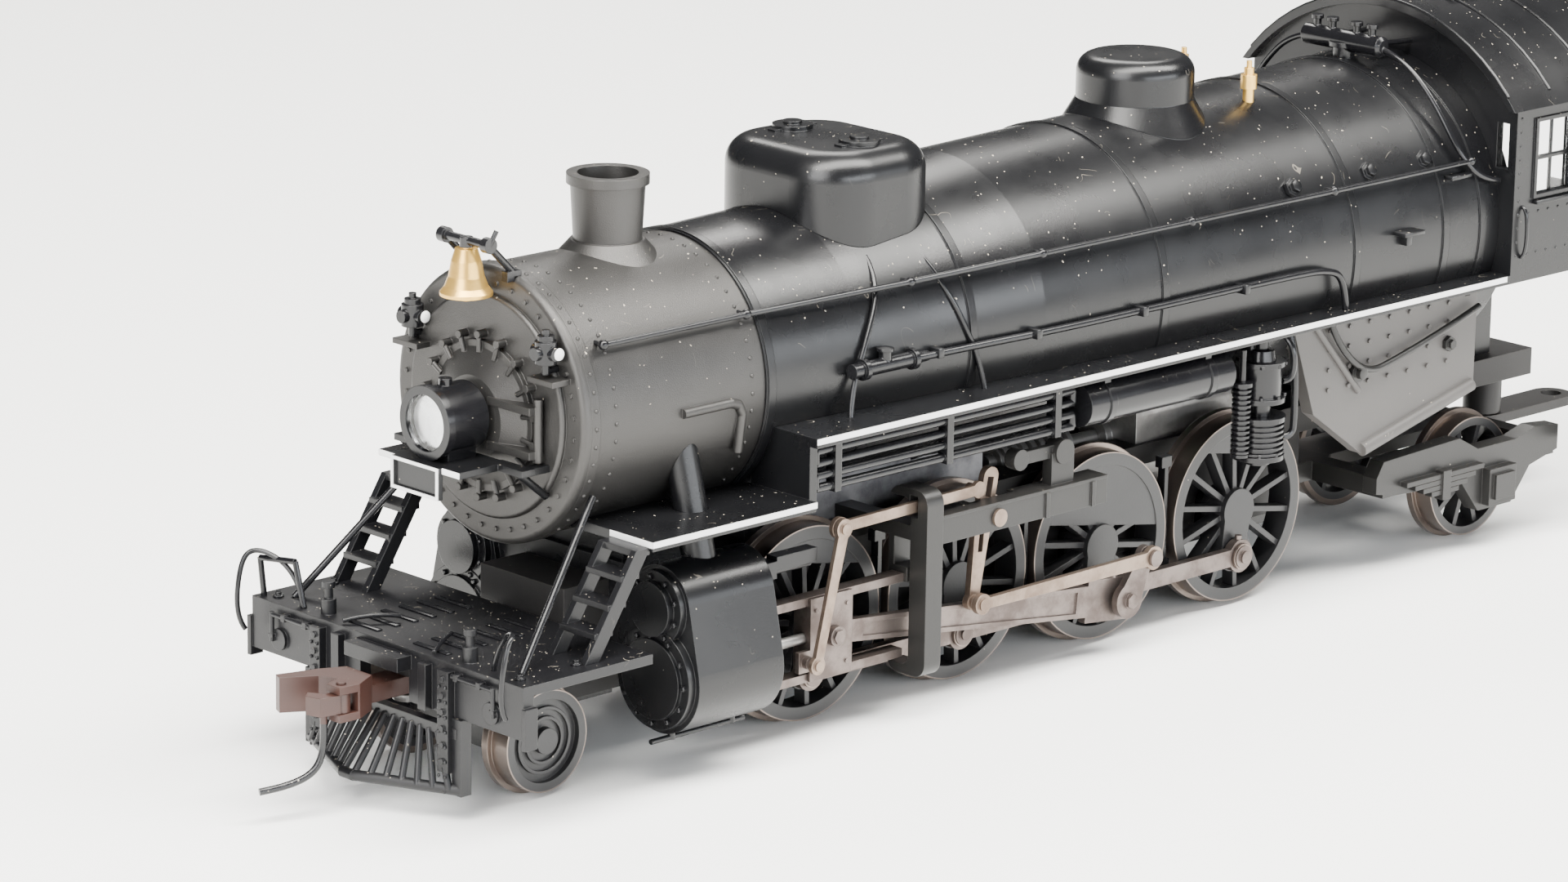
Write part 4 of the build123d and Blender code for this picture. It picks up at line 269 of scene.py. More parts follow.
hair = sums(dust_group, "LESS_THAN",
            sums(dust_group, "ABSOLUTE", sums(dust_group, "SUBTRACT", lint_noise.outputs["Fac"], 0.5)), 0.003)
few_noise = put(dust_group, "ShaderNodeTexNoise", Scale=420.0, Detail=0.0)
join(dust_group, place.outputs["Object"], few_noise.inputs["Vector"])
few = sums(dust_group, "GREATER_THAN", few_noise.outputs["Fac"], 0.72)
facing = put(dust_group, "ShaderNodeNewGeometry")
height = put(dust_group, "ShaderNodeSeparateXYZ")
join(dust_group, facing.outputs["Normal"], height.inputs["Vector"])
upwards = ramp(dust_group, height.outputs["Z"], -0.15, 0.75)
settled = sums(dust_group, "MULTIPLY", sums(dust_group, "MULTIPLY", speck, drawn),
               sums(dust_group, "GREATER_THAN", upwards, lottery.outputs["Blue"]))
lint = sums(dust_group, "MULTIPLY", sums(dust_group, "MULTIPLY", hair, few), upwards)
join(dust_group,
     sums(dust_group, "MAXIMUM", settled, sums(dust_group, "MULTIPLY", lint, taken.outputs["Amount"])), given.inputs["Dust"])
print("built", dust_group.name)

# %% [markdown]
# **Brushed grain.** The rods are stamped from nickel sheet and chemically darkened. Along their length run
# fine rolling marks. A noise stretched a hundredfold along the engine gives them.

# %% Group: brushed grain
brush_group, taken, given = group("Brushed Grain", [("Lines", 4000.0)],
                                  [("Height", NUMBER), ("Tarnish", NUMBER)])
place = put(brush_group, "ShaderNodeTexCoord")
stretch = put(brush_group, "ShaderNodeMapping")
stretch.inputs["Scale"].default_value = (0.02, 1.0, 1.0)
lines = put(brush_group, "ShaderNodeTexNoise", Detail=2.0)
stain = put(brush_group, "ShaderNodeTexNoise", Scale=260.0, Detail=5.0, Roughness=0.65)
join(brush_group, place.outputs["Object"], stretch.inputs["Vector"])
join(brush_group, stretch.outputs["Vector"], lines.inputs["Vector"])
join(brush_group, taken.outputs["Lines"], lines.inputs["Scale"])
join(brush_group, place.outputs["Object"], stain.inputs["Vector"])
join(brush_group, lines.outputs["Fac"], given.inputs["Height"])
join(brush_group, ramp(brush_group, stain.outputs["Fac"], 0.35, 0.68), given.inputs["Tarnish"])
print("built", brush_group.name)

# %% [markdown]
# ## Finishes
# All the paints follow one recipe: a base colour that shifts a little in patches, a paler worn edge, a
# pebbled bump over softened edges, and dust on top which is both paler and rougher than the paint. So one
# function mixes them, and each paint is one call with its own numbers.

# %% Mix a paint
def use(tree, made_group, **values):
    """Places a node group in a material with its own numbers."""
    made = put(tree, "ShaderNodeGroup", {"node_tree": made_group})
    for name, value in values.items():
        made.inputs[name].default_value = value
    return made


def blend_colours(tree, mask, first, second):
    """One colour where the mask is 0 and another where it is 1; colours may be typed or linked."""
    made = put(tree, "ShaderNodeMix", {"data_type": "RGBA"})
    join(tree, mask, made.inputs["Factor"])
    for socket, value in ((made.inputs[6], first), (made.inputs[7], second)):
        if isinstance(value, tuple):
            socket.default_value = (*value, 1.0)
        else:
            join(tree, value, socket)
    return made.outputs[2]


def start_material(name):
    """A new material, its node tree and its shader."""
    made = bpy.data.materials.new(name)
    made.use_nodes = True
    return made, made.node_tree, made.node_tree.nodes["Principled BSDF"]


DUST = (0.36, 0.32, 0.26)


def paint(name, colour, worn, shine, metal=0.0, dust=0.4, pebbles=5000.0, depth=0.00001, radius=0.00012,
          wear=0.35, cells=1900.0, duller=0.06):
    """A sprayed or moulded finish: patchy colour, worn edges, pebbled bump and settled dust."""
    made, tree, shader = start_material(name)
    soft = use(tree, edges_group, Radius=radius)
    grain = use(tree, grain_group, Pebbles=pebbles)
    lying = use(tree, dust_group, Amount=dust, Cells=cells)
    deep = tuple(c * 0.88 for c in colour)
    body = blend_colours(tree, grain.outputs["Patch"], deep, colour)
    rubbed = sums(tree, "MULTIPLY", soft.outputs["Edge"], wear)
    body = blend_colours(tree, rubbed, body, worn)
    body = blend_colours(tree, lying.outputs["Dust"], body, DUST)
    join(tree, body, shader.inputs["Base Color"])
    shader.inputs["Specular IOR Level"].default_value = 0.38
    rough = ramp(tree, grain.outputs["Patch"], 0.0, 1.0, shine, shine + duller)
    rough = sums(tree, "MAXIMUM", rough, sums(tree, "MULTIPLY", lying.outputs["Dust"], 0.9))
    join(tree, rough, shader.inputs["Roughness"])
    if metal:
        join(tree, sums(tree, "MULTIPLY", sums(tree, "SUBTRACT", 1.0, lying.outputs["Dust"]), metal),
             shader.inputs["Metallic"])
    bump = put(tree, "ShaderNodeBump", Strength=1.0, Distance=depth)
    piled = sums(tree, "ADD", grain.outputs["Height"],
                 sums(tree, "MULTIPLY", lying.outputs["Dust"], 6.0))
    join(tree, piled, bump.inputs["Height"])
    join(tree, soft.outputs["Normal"], bump.inputs["Normal"])
    join(tree, bump.outputs["Normal"], shader.inputs["Normal"])
    return made


satin_black = paint("satin black", (0.0050, 0.0051, 0.0058), (0.035, 0.035, 0.037), 0.25, dust=0.30,
                    depth=0.000006)
deck_black = paint("deck black", (0.005, 0.005, 0.006), (0.05, 0.05, 0.05), 0.33, dust=0.62,
                   cells=2100.0)
gloss_black = paint("gloss black", (0.006, 0.006, 0.007), (0.04, 0.04, 0.04), 0.18, dust=0.10,
                    depth=0.000004)
graphite = paint("graphite", (0.062, 0.060, 0.058), (0.12, 0.115, 0.11), 0.36, metal=0.80, dust=0.28,
                 pebbles=9000.0, depth=0.000028)
weathered_grey = paint("weathered grey", (0.075, 0.070, 0.067), (0.15, 0.14, 0.13), 0.50, dust=0.30)
gear_black = paint("motion work black", (0.013, 0.0125, 0.012), (0.07, 0.065, 0.06), 0.36, dust=0.15)
frame_black = paint("frame black", (0.022, 0.021, 0.021), (0.10, 0.09, 0.08), 0.45, metal=0.4,
                    dust=0.15)
white_edge = paint("white edge paint", (0.80, 0.80, 0.80), (0.62, 0.62, 0.60), 0.45, dust=0.05,
                   wear=0.25)
print("mixed the paints")

# %% [markdown]
# ## Metals
# The rods are nickel with a rosy tarnish, the valve gear is browner, the bell and the valves are gold
# paint over brass, and the wheels have bright rims where they roll. Metals keep their colour in the
# reflection, so Metallic is high and the colour varies with the tarnish instead of with dust.

# %% Rods and turned parts
def metal(name, colour, stained, shine, grain_depth=0.000006, metallic=0.85):
    """Brushed metal with tarnish in soft blotches and rounded, brighter edges."""
    made, tree, shader = start_material(name)
    soft = use(tree, edges_group, Radius=0.00008)
    brushed = use(tree, brush_group, Lines=5000.0)
    body = blend_colours(tree, brushed.outputs["Tarnish"], colour, stained)
    bright = tuple(min(1.0, c * 1.5) for c in colour)
    body = blend_colours(tree, sums(tree, "MULTIPLY", soft.outputs["Edge"], 0.4), body, bright)
    join(tree, body, shader.inputs["Base Color"])
    join(tree, ramp(tree, brushed.outputs["Tarnish"], 0.0, 1.0, shine, shine + 0.16),
         shader.inputs["Roughness"])
    shader.inputs["Metallic"].default_value = metallic
    bump = put(tree, "ShaderNodeBump", Strength=1.0, Distance=grain_depth)
    join(tree, brushed.outputs["Height"], bump.inputs["Height"])
    join(tree, soft.outputs["Normal"], bump.inputs["Normal"])
    join(tree, bump.outputs["Normal"], shader.inputs["Normal"])
    return made


rod_nickel = metal("rod nickel", (0.17, 0.142, 0.130), (0.10, 0.078, 0.070), 0.34)
gear_bronze = metal("valve gear bronze", (0.26, 0.200, 0.160), (0.16, 0.115, 0.090), 0.32)
bell_gold = metal("bell gold", (0.83, 0.53, 0.15), (0.62, 0.36, 0.09), 0.30, metallic=0.8)
steel = metal("bright steel", (0.42, 0.41, 0.40), (0.26, 0.25, 0.24), 0.30)
lead_grey = metal("cast lead", (0.20, 0.20, 0.21), (0.12, 0.12, 0.13), 0.55)
print("metals ready")

# %% [markdown]
# **Wheels.** A wheel is blackened all over except where it rubs the rail: the tread and the edge of the
# flange are polished, and a thin line of bare metal shows round the outside of the rim. Each wheelset turns
# about its own axle, so the mask is the distance from that axle, worked out in Object coordinates.

# %% Wheels with bare treads
def wheel_finish(name, node, tread_radius):
    """Blackened wheels whose surface turns to bare metal at the tread, measured from their axle."""
    made, tree, shader = start_material(name)
    bottom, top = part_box(node)
    place = put(tree, "ShaderNodeTexCoord")
    about = put(tree, "ShaderNodeVectorMath", {"operation": "SUBTRACT"})
    about.inputs[1].default_value = ((bottom.x + top.x) / 2, 0, (bottom.z + top.z) / 2)
    flat = put(tree, "ShaderNodeVectorMath", {"operation": "MULTIPLY"})
    flat.inputs[1].default_value = (1, 0, 1)
    far = put(tree, "ShaderNodeVectorMath", {"operation": "LENGTH"})
    join(tree, place.outputs["Object"], about.inputs[0])
    join(tree, about.outputs["Vector"], flat.inputs[0])
    join(tree, flat.outputs["Vector"], far.inputs[0])
    bare = ramp(tree, far.outputs["Value"], tread_radius - 0.16 * mm, tread_radius - 0.10 * mm)
    sideways = put(tree, "ShaderNodeSeparateXYZ")
    join(tree, place.outputs["Object"], sideways.inputs["Vector"])
    pins = ramp(tree, sums(tree, "ABSOLUTE", sideways.outputs["Y"]), 10.40 * mm, 10.44 * mm)
    bare = sums(tree, "MAXIMUM", bare, pins)
    soft = use(tree, edges_group, Radius=0.00012)
    grain = use(tree, grain_group, Pebbles=4000.0)
    lying = use(tree, dust_group, Amount=0.20, Cells=1900.0)
    dark = blend_colours(tree, grain.outputs["Patch"], (0.009, 0.009, 0.010), (0.013, 0.013, 0.014))
    dark = blend_colours(tree, sums(tree, "MULTIPLY", soft.outputs["Edge"], 0.3), dark,
                         (0.09, 0.08, 0.075))
    dark = blend_colours(tree, lying.outputs["Dust"], dark, DUST)
    join(tree, blend_colours(tree, bare, dark, (0.20, 0.165, 0.145)), shader.inputs["Base Color"])
    join(tree, sums(tree, "MULTIPLY", bare, 0.9), shader.inputs["Metallic"])
    join(tree, ramp(tree, bare, 0.0, 1.0, 0.42, 0.28), shader.inputs["Roughness"])
    bump = put(tree, "ShaderNodeBump", Strength=1.0, Distance=0.00001)
    join(tree, grain.outputs["Height"], bump.inputs["Height"])
    join(tree, soft.outputs["Normal"], bump.inputs["Normal"])
    join(tree, bump.outputs["Normal"], shader.inputs["Normal"])
    return made


def coat_parts(name, first, second, blacked, shine, metallic, dusty=0.15):
    """A finish in two parts: the first colour, and black paint where the mask that is passed in says so."""
    made, tree, shader = start_material(name)
    soft = use(tree, edges_group, Radius=0.00010)
    grain = use(tree, grain_group, Pebbles=5000.0)
    lying = use(tree, dust_group, Amount=dusty, Cells=1900.0)
    black = blacked(tree)
    body = blend_colours(tree, grain.outputs["Patch"], first, second)
    body = blend_colours(tree, black, body, (0.008, 0.008, 0.009))
    body = blend_colours(tree, lying.outputs["Dust"], body, DUST)
    join(tree, body, shader.inputs["Base Color"])
    join(tree, ramp(tree, black, 0.0, 1.0, shine, 0.25), shader.inputs["Roughness"])
    join(tree, sums(tree, "MULTIPLY", sums(tree, "SUBTRACT", 1.0, black), metallic),
         shader.inputs["Metallic"])
    bump = put(tree, "ShaderNodeBump", Strength=1.0, Distance=0.000008)
    join(tree, grain.outputs["Height"], bump.inputs["Height"])
    join(tree, soft.outputs["Normal"], bump.inputs["Normal"])
    join(tree, bump.outputs["Normal"], shader.inputs["Normal"])
    return made


def beside_the_bell(tree):
    """Everything farther from the bell's axis than its mouth, or above its crown, is yoke."""
    _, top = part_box("bell")
    place = put(tree, "ShaderNodeTexCoord")
    about = put(tree, "ShaderNodeVectorMath", {"operation": "SUBTRACT"})
    about.inputs[1].default_value = (smokebox_high.x - 24.6 * mm, 0, 0)
    flat = put(tree, "ShaderNodeVectorMath", {"operation": "MULTIPLY"})
    flat.inputs[1].default_value = (1, 1, 0)
    far = put(tree, "ShaderNodeVectorMath", {"operation": "LENGTH"})
    tall = put(tree, "ShaderNodeSeparateXYZ")
    join(tree, place.outputs["Object"], about.inputs[0])
    join(tree, about.outputs["Vector"], flat.inputs[0])
    join(tree, flat.outputs["Vector"], far.inputs[0])
    join(tree, place.outputs["Object"], tall.inputs["Vector"])
    outside = sums(tree, "GREATER_THAN", far.outputs["Value"], 2.42 * mm)
    above = sums(tree, "GREATER_THAN", tall.outputs["Z"], top.z - 2.0 * mm)
    return sums(tree, "MAXIMUM", outside, above)


def below_the_knuckle(tree):
    """The trip pin is the part of the knuckle that hangs below the coupler's jaw."""
    place = put(tree, "ShaderNodeTexCoord")
    tall = put(tree, "ShaderNodeSeparateXYZ")
    join(tree, place.outputs["Object"], tall.inputs["Vector"])
    return sums(tree, "LESS_THAN", tall.outputs["Z"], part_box("coupler")[0].z - 0.25 * mm)


_, smokebox_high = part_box("smokebox")
bell_and_yoke = coat_parts("gold bell and black yoke", (0.56, 0.33, 0.07), (0.76, 0.47, 0.12),
                           beside_the_bell,
                           0.30, 0.75, 0.05)
brown_plastic = coat_parts("coupler brown", (0.032, 0.013, 0.0095), (0.048, 0.019, 0.014),
                           below_the_knuckle,
                           0.42, 0.0)


def dress(node, finish):
    """Gives a carried-over node its finish, in every slot it has."""
    target = nodes[node]
    if not target.material_slots:
        target.data.materials.append(finish)
    for held in target.material_slots:
        held.material = finish


wheel_sizes = {"driver_set_1": 9.2, "driver_set_2": 9.2, "driver_set_3": 9.2, "driver_set_4": 9.2,
               "lead_wheelset": 4.7, "trailing_wheelset": 6.2}
for wheel, radius in wheel_sizes.items():
    dress(wheel, wheel_finish(wheel.replace("_", " "), wheel, radius * mm))
print("dressed", len(wheel_sizes), "wheelsets")

# %% [markdown]
# **Glass and board.** The headlight has a clear moulded lens, and the circuit board inside is green. Glass
# stays simple: full transmission, a plastic's index of refraction, and a trace of unevenness on its face.

# %% Clear plastic and circuit board
clear, tree, shader = start_material("clear plastic")
shader.inputs["Base Color"].default_value = (0.97, 0.98, 1.0, 1.0)
shader.inputs["Transmission Weight"].default_value = 1.0
shader.inputs["IOR"].default_value = 1.49
grain = use(tree, grain_group, Pebbles=1500.0)
join(tree, ramp(tree, grain.outputs["Patch"], 0.0, 1.0, 0.02, 0.07), shader.inputs["Roughness"])
bump = put(tree, "ShaderNodeBump", Strength=0.4, Distance=0.000004)
join(tree, grain.outputs["Height"], bump.inputs["Height"])
join(tree, bump.outputs["Normal"], shader.inputs["Normal"])
board_green = paint("board green", (0.016, 0.10, 0.035), (0.10, 0.22, 0.12), 0.30, dust=0.05)
gear_white = paint("gear plastic", (0.62, 0.60, 0.55), (0.70, 0.68, 0.62), 0.40, dust=0.05)
print("glass and board ready")

# %% [markdown]
# ## Dressing the nodes
# Now every carried-over node gets its finish. Nothing is moved or reshaped, only its material slots
# change. A table is easier to check than thirty calls.

# %% Hand out the finishes
finishes = {
    satin_black: ["boiler_shell", "sand_dome", "steam_dome", "running_boards", "cab", "cylinders",
                  "headlight_bracket",
                  "keeper_plate", "lead_truck", "air_pump"],
    deck_black: ["pilot_deck", "pilot", "deck_ladders"],
    gloss_black: ["headlight", "marker_lamps", "handrails", "air_reservoirs"],
    graphite: ["smokebox", "smokebox_front"],
    weathered_grey: ["firebox_sides"],
    gear_black: ["motion_hanger", "trailing_truck"],
    frame_black: ["chassis_frame", "drawbar"],
    brown_plastic: ["coupler", "knuckle"],
    rod_nickel: ["guide_bars",
                 "return_cranks"] + [kind + side for side in ("_left", "_right") for kind in (
        "side_rod", "main_rod", "crosshead", "crosshead_pin")],
    gear_bronze: ["expansion_links", "radius_rods", "combination_levers"] + [
        kind + side for side in ("_left", "_right") for kind in ("eccentric_rod", "rod_bush")],
    steel: ["motor", "motor_rotor", "screws", "piston_rod_left", "piston_rod_right"],
    bell_gold: ["safety_valves"],
    bell_and_yoke: ["bell"],
    lead_grey: ["ballast_weight"],
    board_green: ["circuit_board"],
    gear_white: ["drive_gear"],
    clear: ["headlight_lens"],
}
for finish, members in finishes.items():
    for member in members:
        dress(member, finish)
plain = sorted(set(nodes) - set(wheel_sizes) - {n for members in finishes.values() for n in members})
print("nodes still without a finish:", plain)
# %% [markdown]
# ## Making the small pieces
# The pieces that follow are made the way a hand would make them. A round part starts as a disc that is
# extruded and resized ring by ring, like turning it on a lathe. A pipe is a curve with a round bevel. A
# plate is a cube brought to size. Places are given from the first driving axle and the top of the rail,
# because that is where this engine's drawings measure from too.

# %% Helpers for making and fitting pieces
def at(along, side, height):
    """A place measured in millimetres from the first axle, the centre plane and the top of the rail."""
    return Vector((first_axle_x + along * mm, side * mm, rail_top + height * mm))


def fit(piece, name, finish, body="locomotive", angle=35):
    """Names a finished piece, cleans its mesh, gives it its finish and fixes it to its body."""
    let_go()
    piece.select_set(True)
    bpy.context.view_layer.objects.active = piece
    bpy.ops.object.transform_apply(location=True, rotation=True, scale=True)
    bpy.ops.object.mode_set(mode="EDIT")
    bpy.ops.mesh.select_all(action="SELECT")
    bpy.ops.mesh.remove_doubles(threshold=0.000002)
    bpy.ops.mesh.normals_make_consistent(inside=False)
    bpy.ops.object.mode_set(mode="OBJECT")
    bpy.ops.object.shade_smooth_by_angle(angle=radians(angle))
    piece.name = piece.data.name = name
    piece.data.materials.clear()
    piece.data.materials.append(finish)
    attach(piece, body)
    return piece


def turned(place, facing, rings, sides=24):
    """A turned part along one direction: each ring is (distance along, radius), in millimetres."""
    let_go()
    bpy.ops.mesh.primitive_circle_add(vertices=sides, radius=rings[0][1] * mm, fill_type="NGON",
                                      location=(0, 0, rings[0][0] * mm))
    made = bpy.context.object
    bpy.ops.object.transform_apply(location=True, rotation=False, scale=False)
    bpy.ops.object.mode_set(mode="EDIT")
    bpy.ops.mesh.select_all(action="SELECT")
    for before, after in zip(rings[:-1], rings[1:]):
        bpy.ops.mesh.extrude_region_move(TRANSFORM_OT_translate={"value": (0, 0,
                                                                           (after[0] - before[0]) * mm)})
        size = after[1] / before[1]
        bpy.ops.transform.resize(value=(size, size, 1))
    bpy.ops.object.mode_set(mode="OBJECT")
    made.rotation_mode = "QUATERNION"
    made.rotation_quaternion = Vector((0, 0, 1)).rotation_difference(Vector(facing))
    made.location = place
    return made


def slab(low_corner, high_corner, bevel=0.06):
    """A plate between two corners given in millimetres, with lightly broken edges."""
    let_go()
    a, b = at(*low_corner), at(*high_corner)
    bpy.ops.mesh.primitive_cube_add(size=1.0, location=(a + b) / 2)
    made = bpy.context.object
    made.scale = [abs(q - p) for p, q in zip(a, b)]
    bpy.ops.object.transform_apply(location=False, rotation=False, scale=True)
    if bevel:
        bpy.ops.object.mode_set(mode="EDIT")
        bpy.ops.mesh.select_all(action="SELECT")
        bpy.ops.mesh.bevel(offset=bevel * mm, segments=2, affect="EDGES")
        bpy.ops.object.mode_set(mode="OBJECT")
    return made


def pipe(points, radius, order=3):
    """A round pipe along a path; order 2 keeps its corners sharp and order 3 rounds them."""
    let_go()
    bpy.ops.curve.primitive_nurbs_path_add(location=(0, 0, 0))
    path = bpy.context.object
    path.data.splines.clear()
    line = path.data.splines.new("NURBS")
    line.points.add(len(points) - 1)
    for knot, place in zip(line.points, points):
        knot.co = (*at(*place), 1.0)
    line.order_u = min(order, len(points))
    line.use_endpoint_u = True
    line.resolution_u = 8 if order > 2 else 1
    path.data.bevel_depth = radius * mm
    path.data.bevel_resolution = 3
    path.data.use_fill_caps = True
    bpy.ops.object.convert(target="MESH")
    return bpy.context.object


def gather(pieces):
    """Joins finished shapes into one piece and returns it."""
    let_go()
    for piece in pieces:
        piece.select_set(True)
    bpy.context.view_layer.objects.active = pieces[0]
    bpy.ops.object.join()
    return pieces[0]


def repeat(first, places, turns=None):
    """Copies one shape to many places, each with a mesh of its own, and joins them into a row."""
    row = []
    for i, place in enumerate(places):
        twin = first.copy()
        twin.data = first.data.copy()
        bpy.context.collection.objects.link(twin)
        twin.location = place
        if turns:
            twin.rotation_mode = "QUATERNION"
            twin.rotation_quaternion = turns[i] @ first.rotation_quaternion
        row.append(twin)
    bpy.data.objects.remove(first)
    return gather(row)


FRONT, LEFT, UP, RIGHT, REAR = (-1, 0, 0), (0, -1, 0), (0, 0, 1), (0, 1, 0), (1, 0, 0)
print("helpers for pieces ready")

# %% [markdown]
# ## The headlight and the number board
# Behind the lens sits a bowl-shaped reflector with a small warm bulb. The bowl is turned like the other
# round parts: out along the rim, then back down the inside. Under the lamp hangs the number board, left
# blank, in a white frame: a plane, inset once, its middle removed and the rest extruded.

# %% Reflector and bulb
mirror = metal("silvered reflector", (0.82, 0.82, 0.80), (0.66, 0.66, 0.64), 0.16, metallic=0.95)
bulb_amber, tree, shader = start_material("amber bulb")
grain = use(tree, grain_group, Pebbles=1500.0)
glow = blend_colours(tree, grain.outputs["Patch"], (0.85, 0.50, 0.20), (0.95, 0.66, 0.32))
join(tree, glow, shader.inputs["Base Color"])
shader.inputs["Roughness"].default_value = 0.15
shader.inputs["Coat Weight"].default_value = 0.5
lens_low, lens_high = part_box("headlight_lens")
lamp_height = (lens_low.z + lens_high.z) / 2
lamp_back = Vector((lens_high.x, 0, lamp_height))
bowl = turned(lamp_back, REAR,
              [(0.1, 2.5), (0.1, 2.35), (0.7, 2.1), (1.4, 1.55), (1.9, 0.9), (2.0, 0.45),
                                (2.2, 0.45), (2.2, 1.0), (1.7, 1.75), (0.8, 2.35), (0.2, 2.52)])
fit(bowl, "headlight_reflector", mirror, angle=60)
bulb = turned(lamp_back + Vector((1.9 * mm, 0, 0)), FRONT,
              [(0, 0.42), (0.9, 0.42), (1.15, 0.34), (1.3, 0.2), (1.36, 0.05)], 16)
fit(bulb, "headlight_bulb", bulb_amber, angle=60)
print("reflector and bulb in place")

# %% Frame of the number board
bracket_low, bracket_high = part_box("headlight_bracket")
board_front = bracket_low.x
board_bottom = bracket_high.z - 2.9 * mm
let_go()
bpy.ops.mesh.primitive_plane_add(size=1.0,
                                 location=(board_front, 0, (bracket_high.z + board_bottom) / 2),
                                 rotation=(0, -pi / 2, 0))
rim = bpy.context.object
rim.scale = (2.9 * mm, 6.3 * mm, 1)
bpy.ops.object.transform_apply(location=False, rotation=True, scale=True)
bpy.ops.object.mode_set(mode="EDIT")
bpy.ops.mesh.select_all(action="SELECT")
bpy.ops.mesh.inset(thickness=0.28 * mm)
bpy.ops.mesh.delete(type="FACE")
bpy.ops.mesh.select_all(action="SELECT")
bpy.ops.mesh.extrude_region_move(TRANSFORM_OT_translate={"value": (-0.12 * mm, 0, 0)})
bpy.ops.object.mode_set(mode="OBJECT")
fit(rim, "number_board_frame", white_edge)
shelf_edge = [slab((-38.12, -5.4, 28.75), (-38.0, 5.4, 29.28), 0.03)]
print("number board framed")

# %% [markdown]
# ## White edges and marker lenses
# The edges of the walkways, of the platforms over the cylinders and of the lamp shelf are lined in white.
# On the real model this is paint, but a strip a few hundredths of a millimetre thick gives a cleaner line
# than a mask. The marker lamps get domed milky lenses to the front and to each side.

# %% Line the edges
for side, word in ((-1, "left"), (1, "right")):
    outer = side * 17.5
    strips = [slab((-6.5, outer, 28.72), (89.5, outer + side * 0.06, 29.27), 0),
              slab((-26.3, outer, 22.92), (-6.4, outer + side * 0.06, 23.47), 0),
              slab((-26.38, side * 12.0, 22.92), (-26.3, outer, 23.47), 0)]
    fit(gather(strips), "white_edge_" + word, white_edge)
fit(gather(shelf_edge), "white_edge_shelf", white_edge)
for side, word in ((-1, "left"), (1, "right")):
    heart = at(-30.9, side * 8.9, 39.7)
    lenses = [turned(heart + Vector(way) * 1.38 * mm, way,
                     [(0, 0.56), (0.12, 0.52), (0.22, 0.36), (0.27, 0.1)], 16)
              for way in (FRONT, LEFT, RIGHT)]
    fit(gather(lenses), "marker_lenses_" + word, white_edge, angle=60)
print("edges lined and lenses fitted")

# %% [markdown]
# ## Rivets
# Rivets are what makes sheet metal look like sheet metal. One small domed head is turned once and copied:
# round both rims of the smokebox, down the joints of the cab and along the posts of the pilot beam.

# %% Rings and rows of rivets
def rivet(facing, radius=0.2, rise=0.16):
    """A domed rivet head, ready to be copied."""
    made = turned(Vector((0, 0, 0)), facing,
                  [(-0.08, radius), (rise * 0.4, radius * 0.95), (rise * 0.8, radius * 0.6),
                                             (rise, radius * 0.2)], 8)
    return made


def ring_of_rivets(along, radius, height, count, name):
    """Rivets standing out all round the boiler at one place along it, except underneath."""
    from_top = [radians(360 * i / count) for i in range(count) if abs(360 * i / count - 180) > 35]
    spots = [at(along, radius * sin(a), height + radius * cos(a)) for a in from_top]
    first = rivet(UP)
    turns = [Vector((0, 0, 1)).rotation_difference(Vector((0, sin(a), cos(a)))) for a in from_top]
    return fit(repeat(first, spots, turns), name, graphite, angle=60)


ring_of_rivets(-28.5, 12.6, 33.0, 48, "rivets_smokebox_front")
ring_of_rivets(-25.9, 12.3, 33.0, 48, "rivets_smokebox_seam")
ring_of_rivets(-9.6, 12.3, 33.0, 48, "rivets_smokebox_rear")
for side, word in ((-1, "left"), (1, "right")):
    spots = [at(90.8 + 1.55 * i, side * 17.5, h) for i in range(12) for h in (31.2, 35.4)]
    spots += [at(90.7, side * 17.5, 31.2 + 1.4 * i) for i in range(11)]
    row = repeat(rivet((0, side, 0), 0.16, 0.1), spots)
    fit(row, "rivets_cab_" + word, satin_black, angle=60)
print("rivets set")
# %% [markdown]
# ## Pipes and fittings on the boiler
# Sand runs from the dome to the wheels through two pipes on each side, and a longer pipe follows the
# walkway back to the cab. Small brackets hold them. The valve body ahead of them is turned in steps.

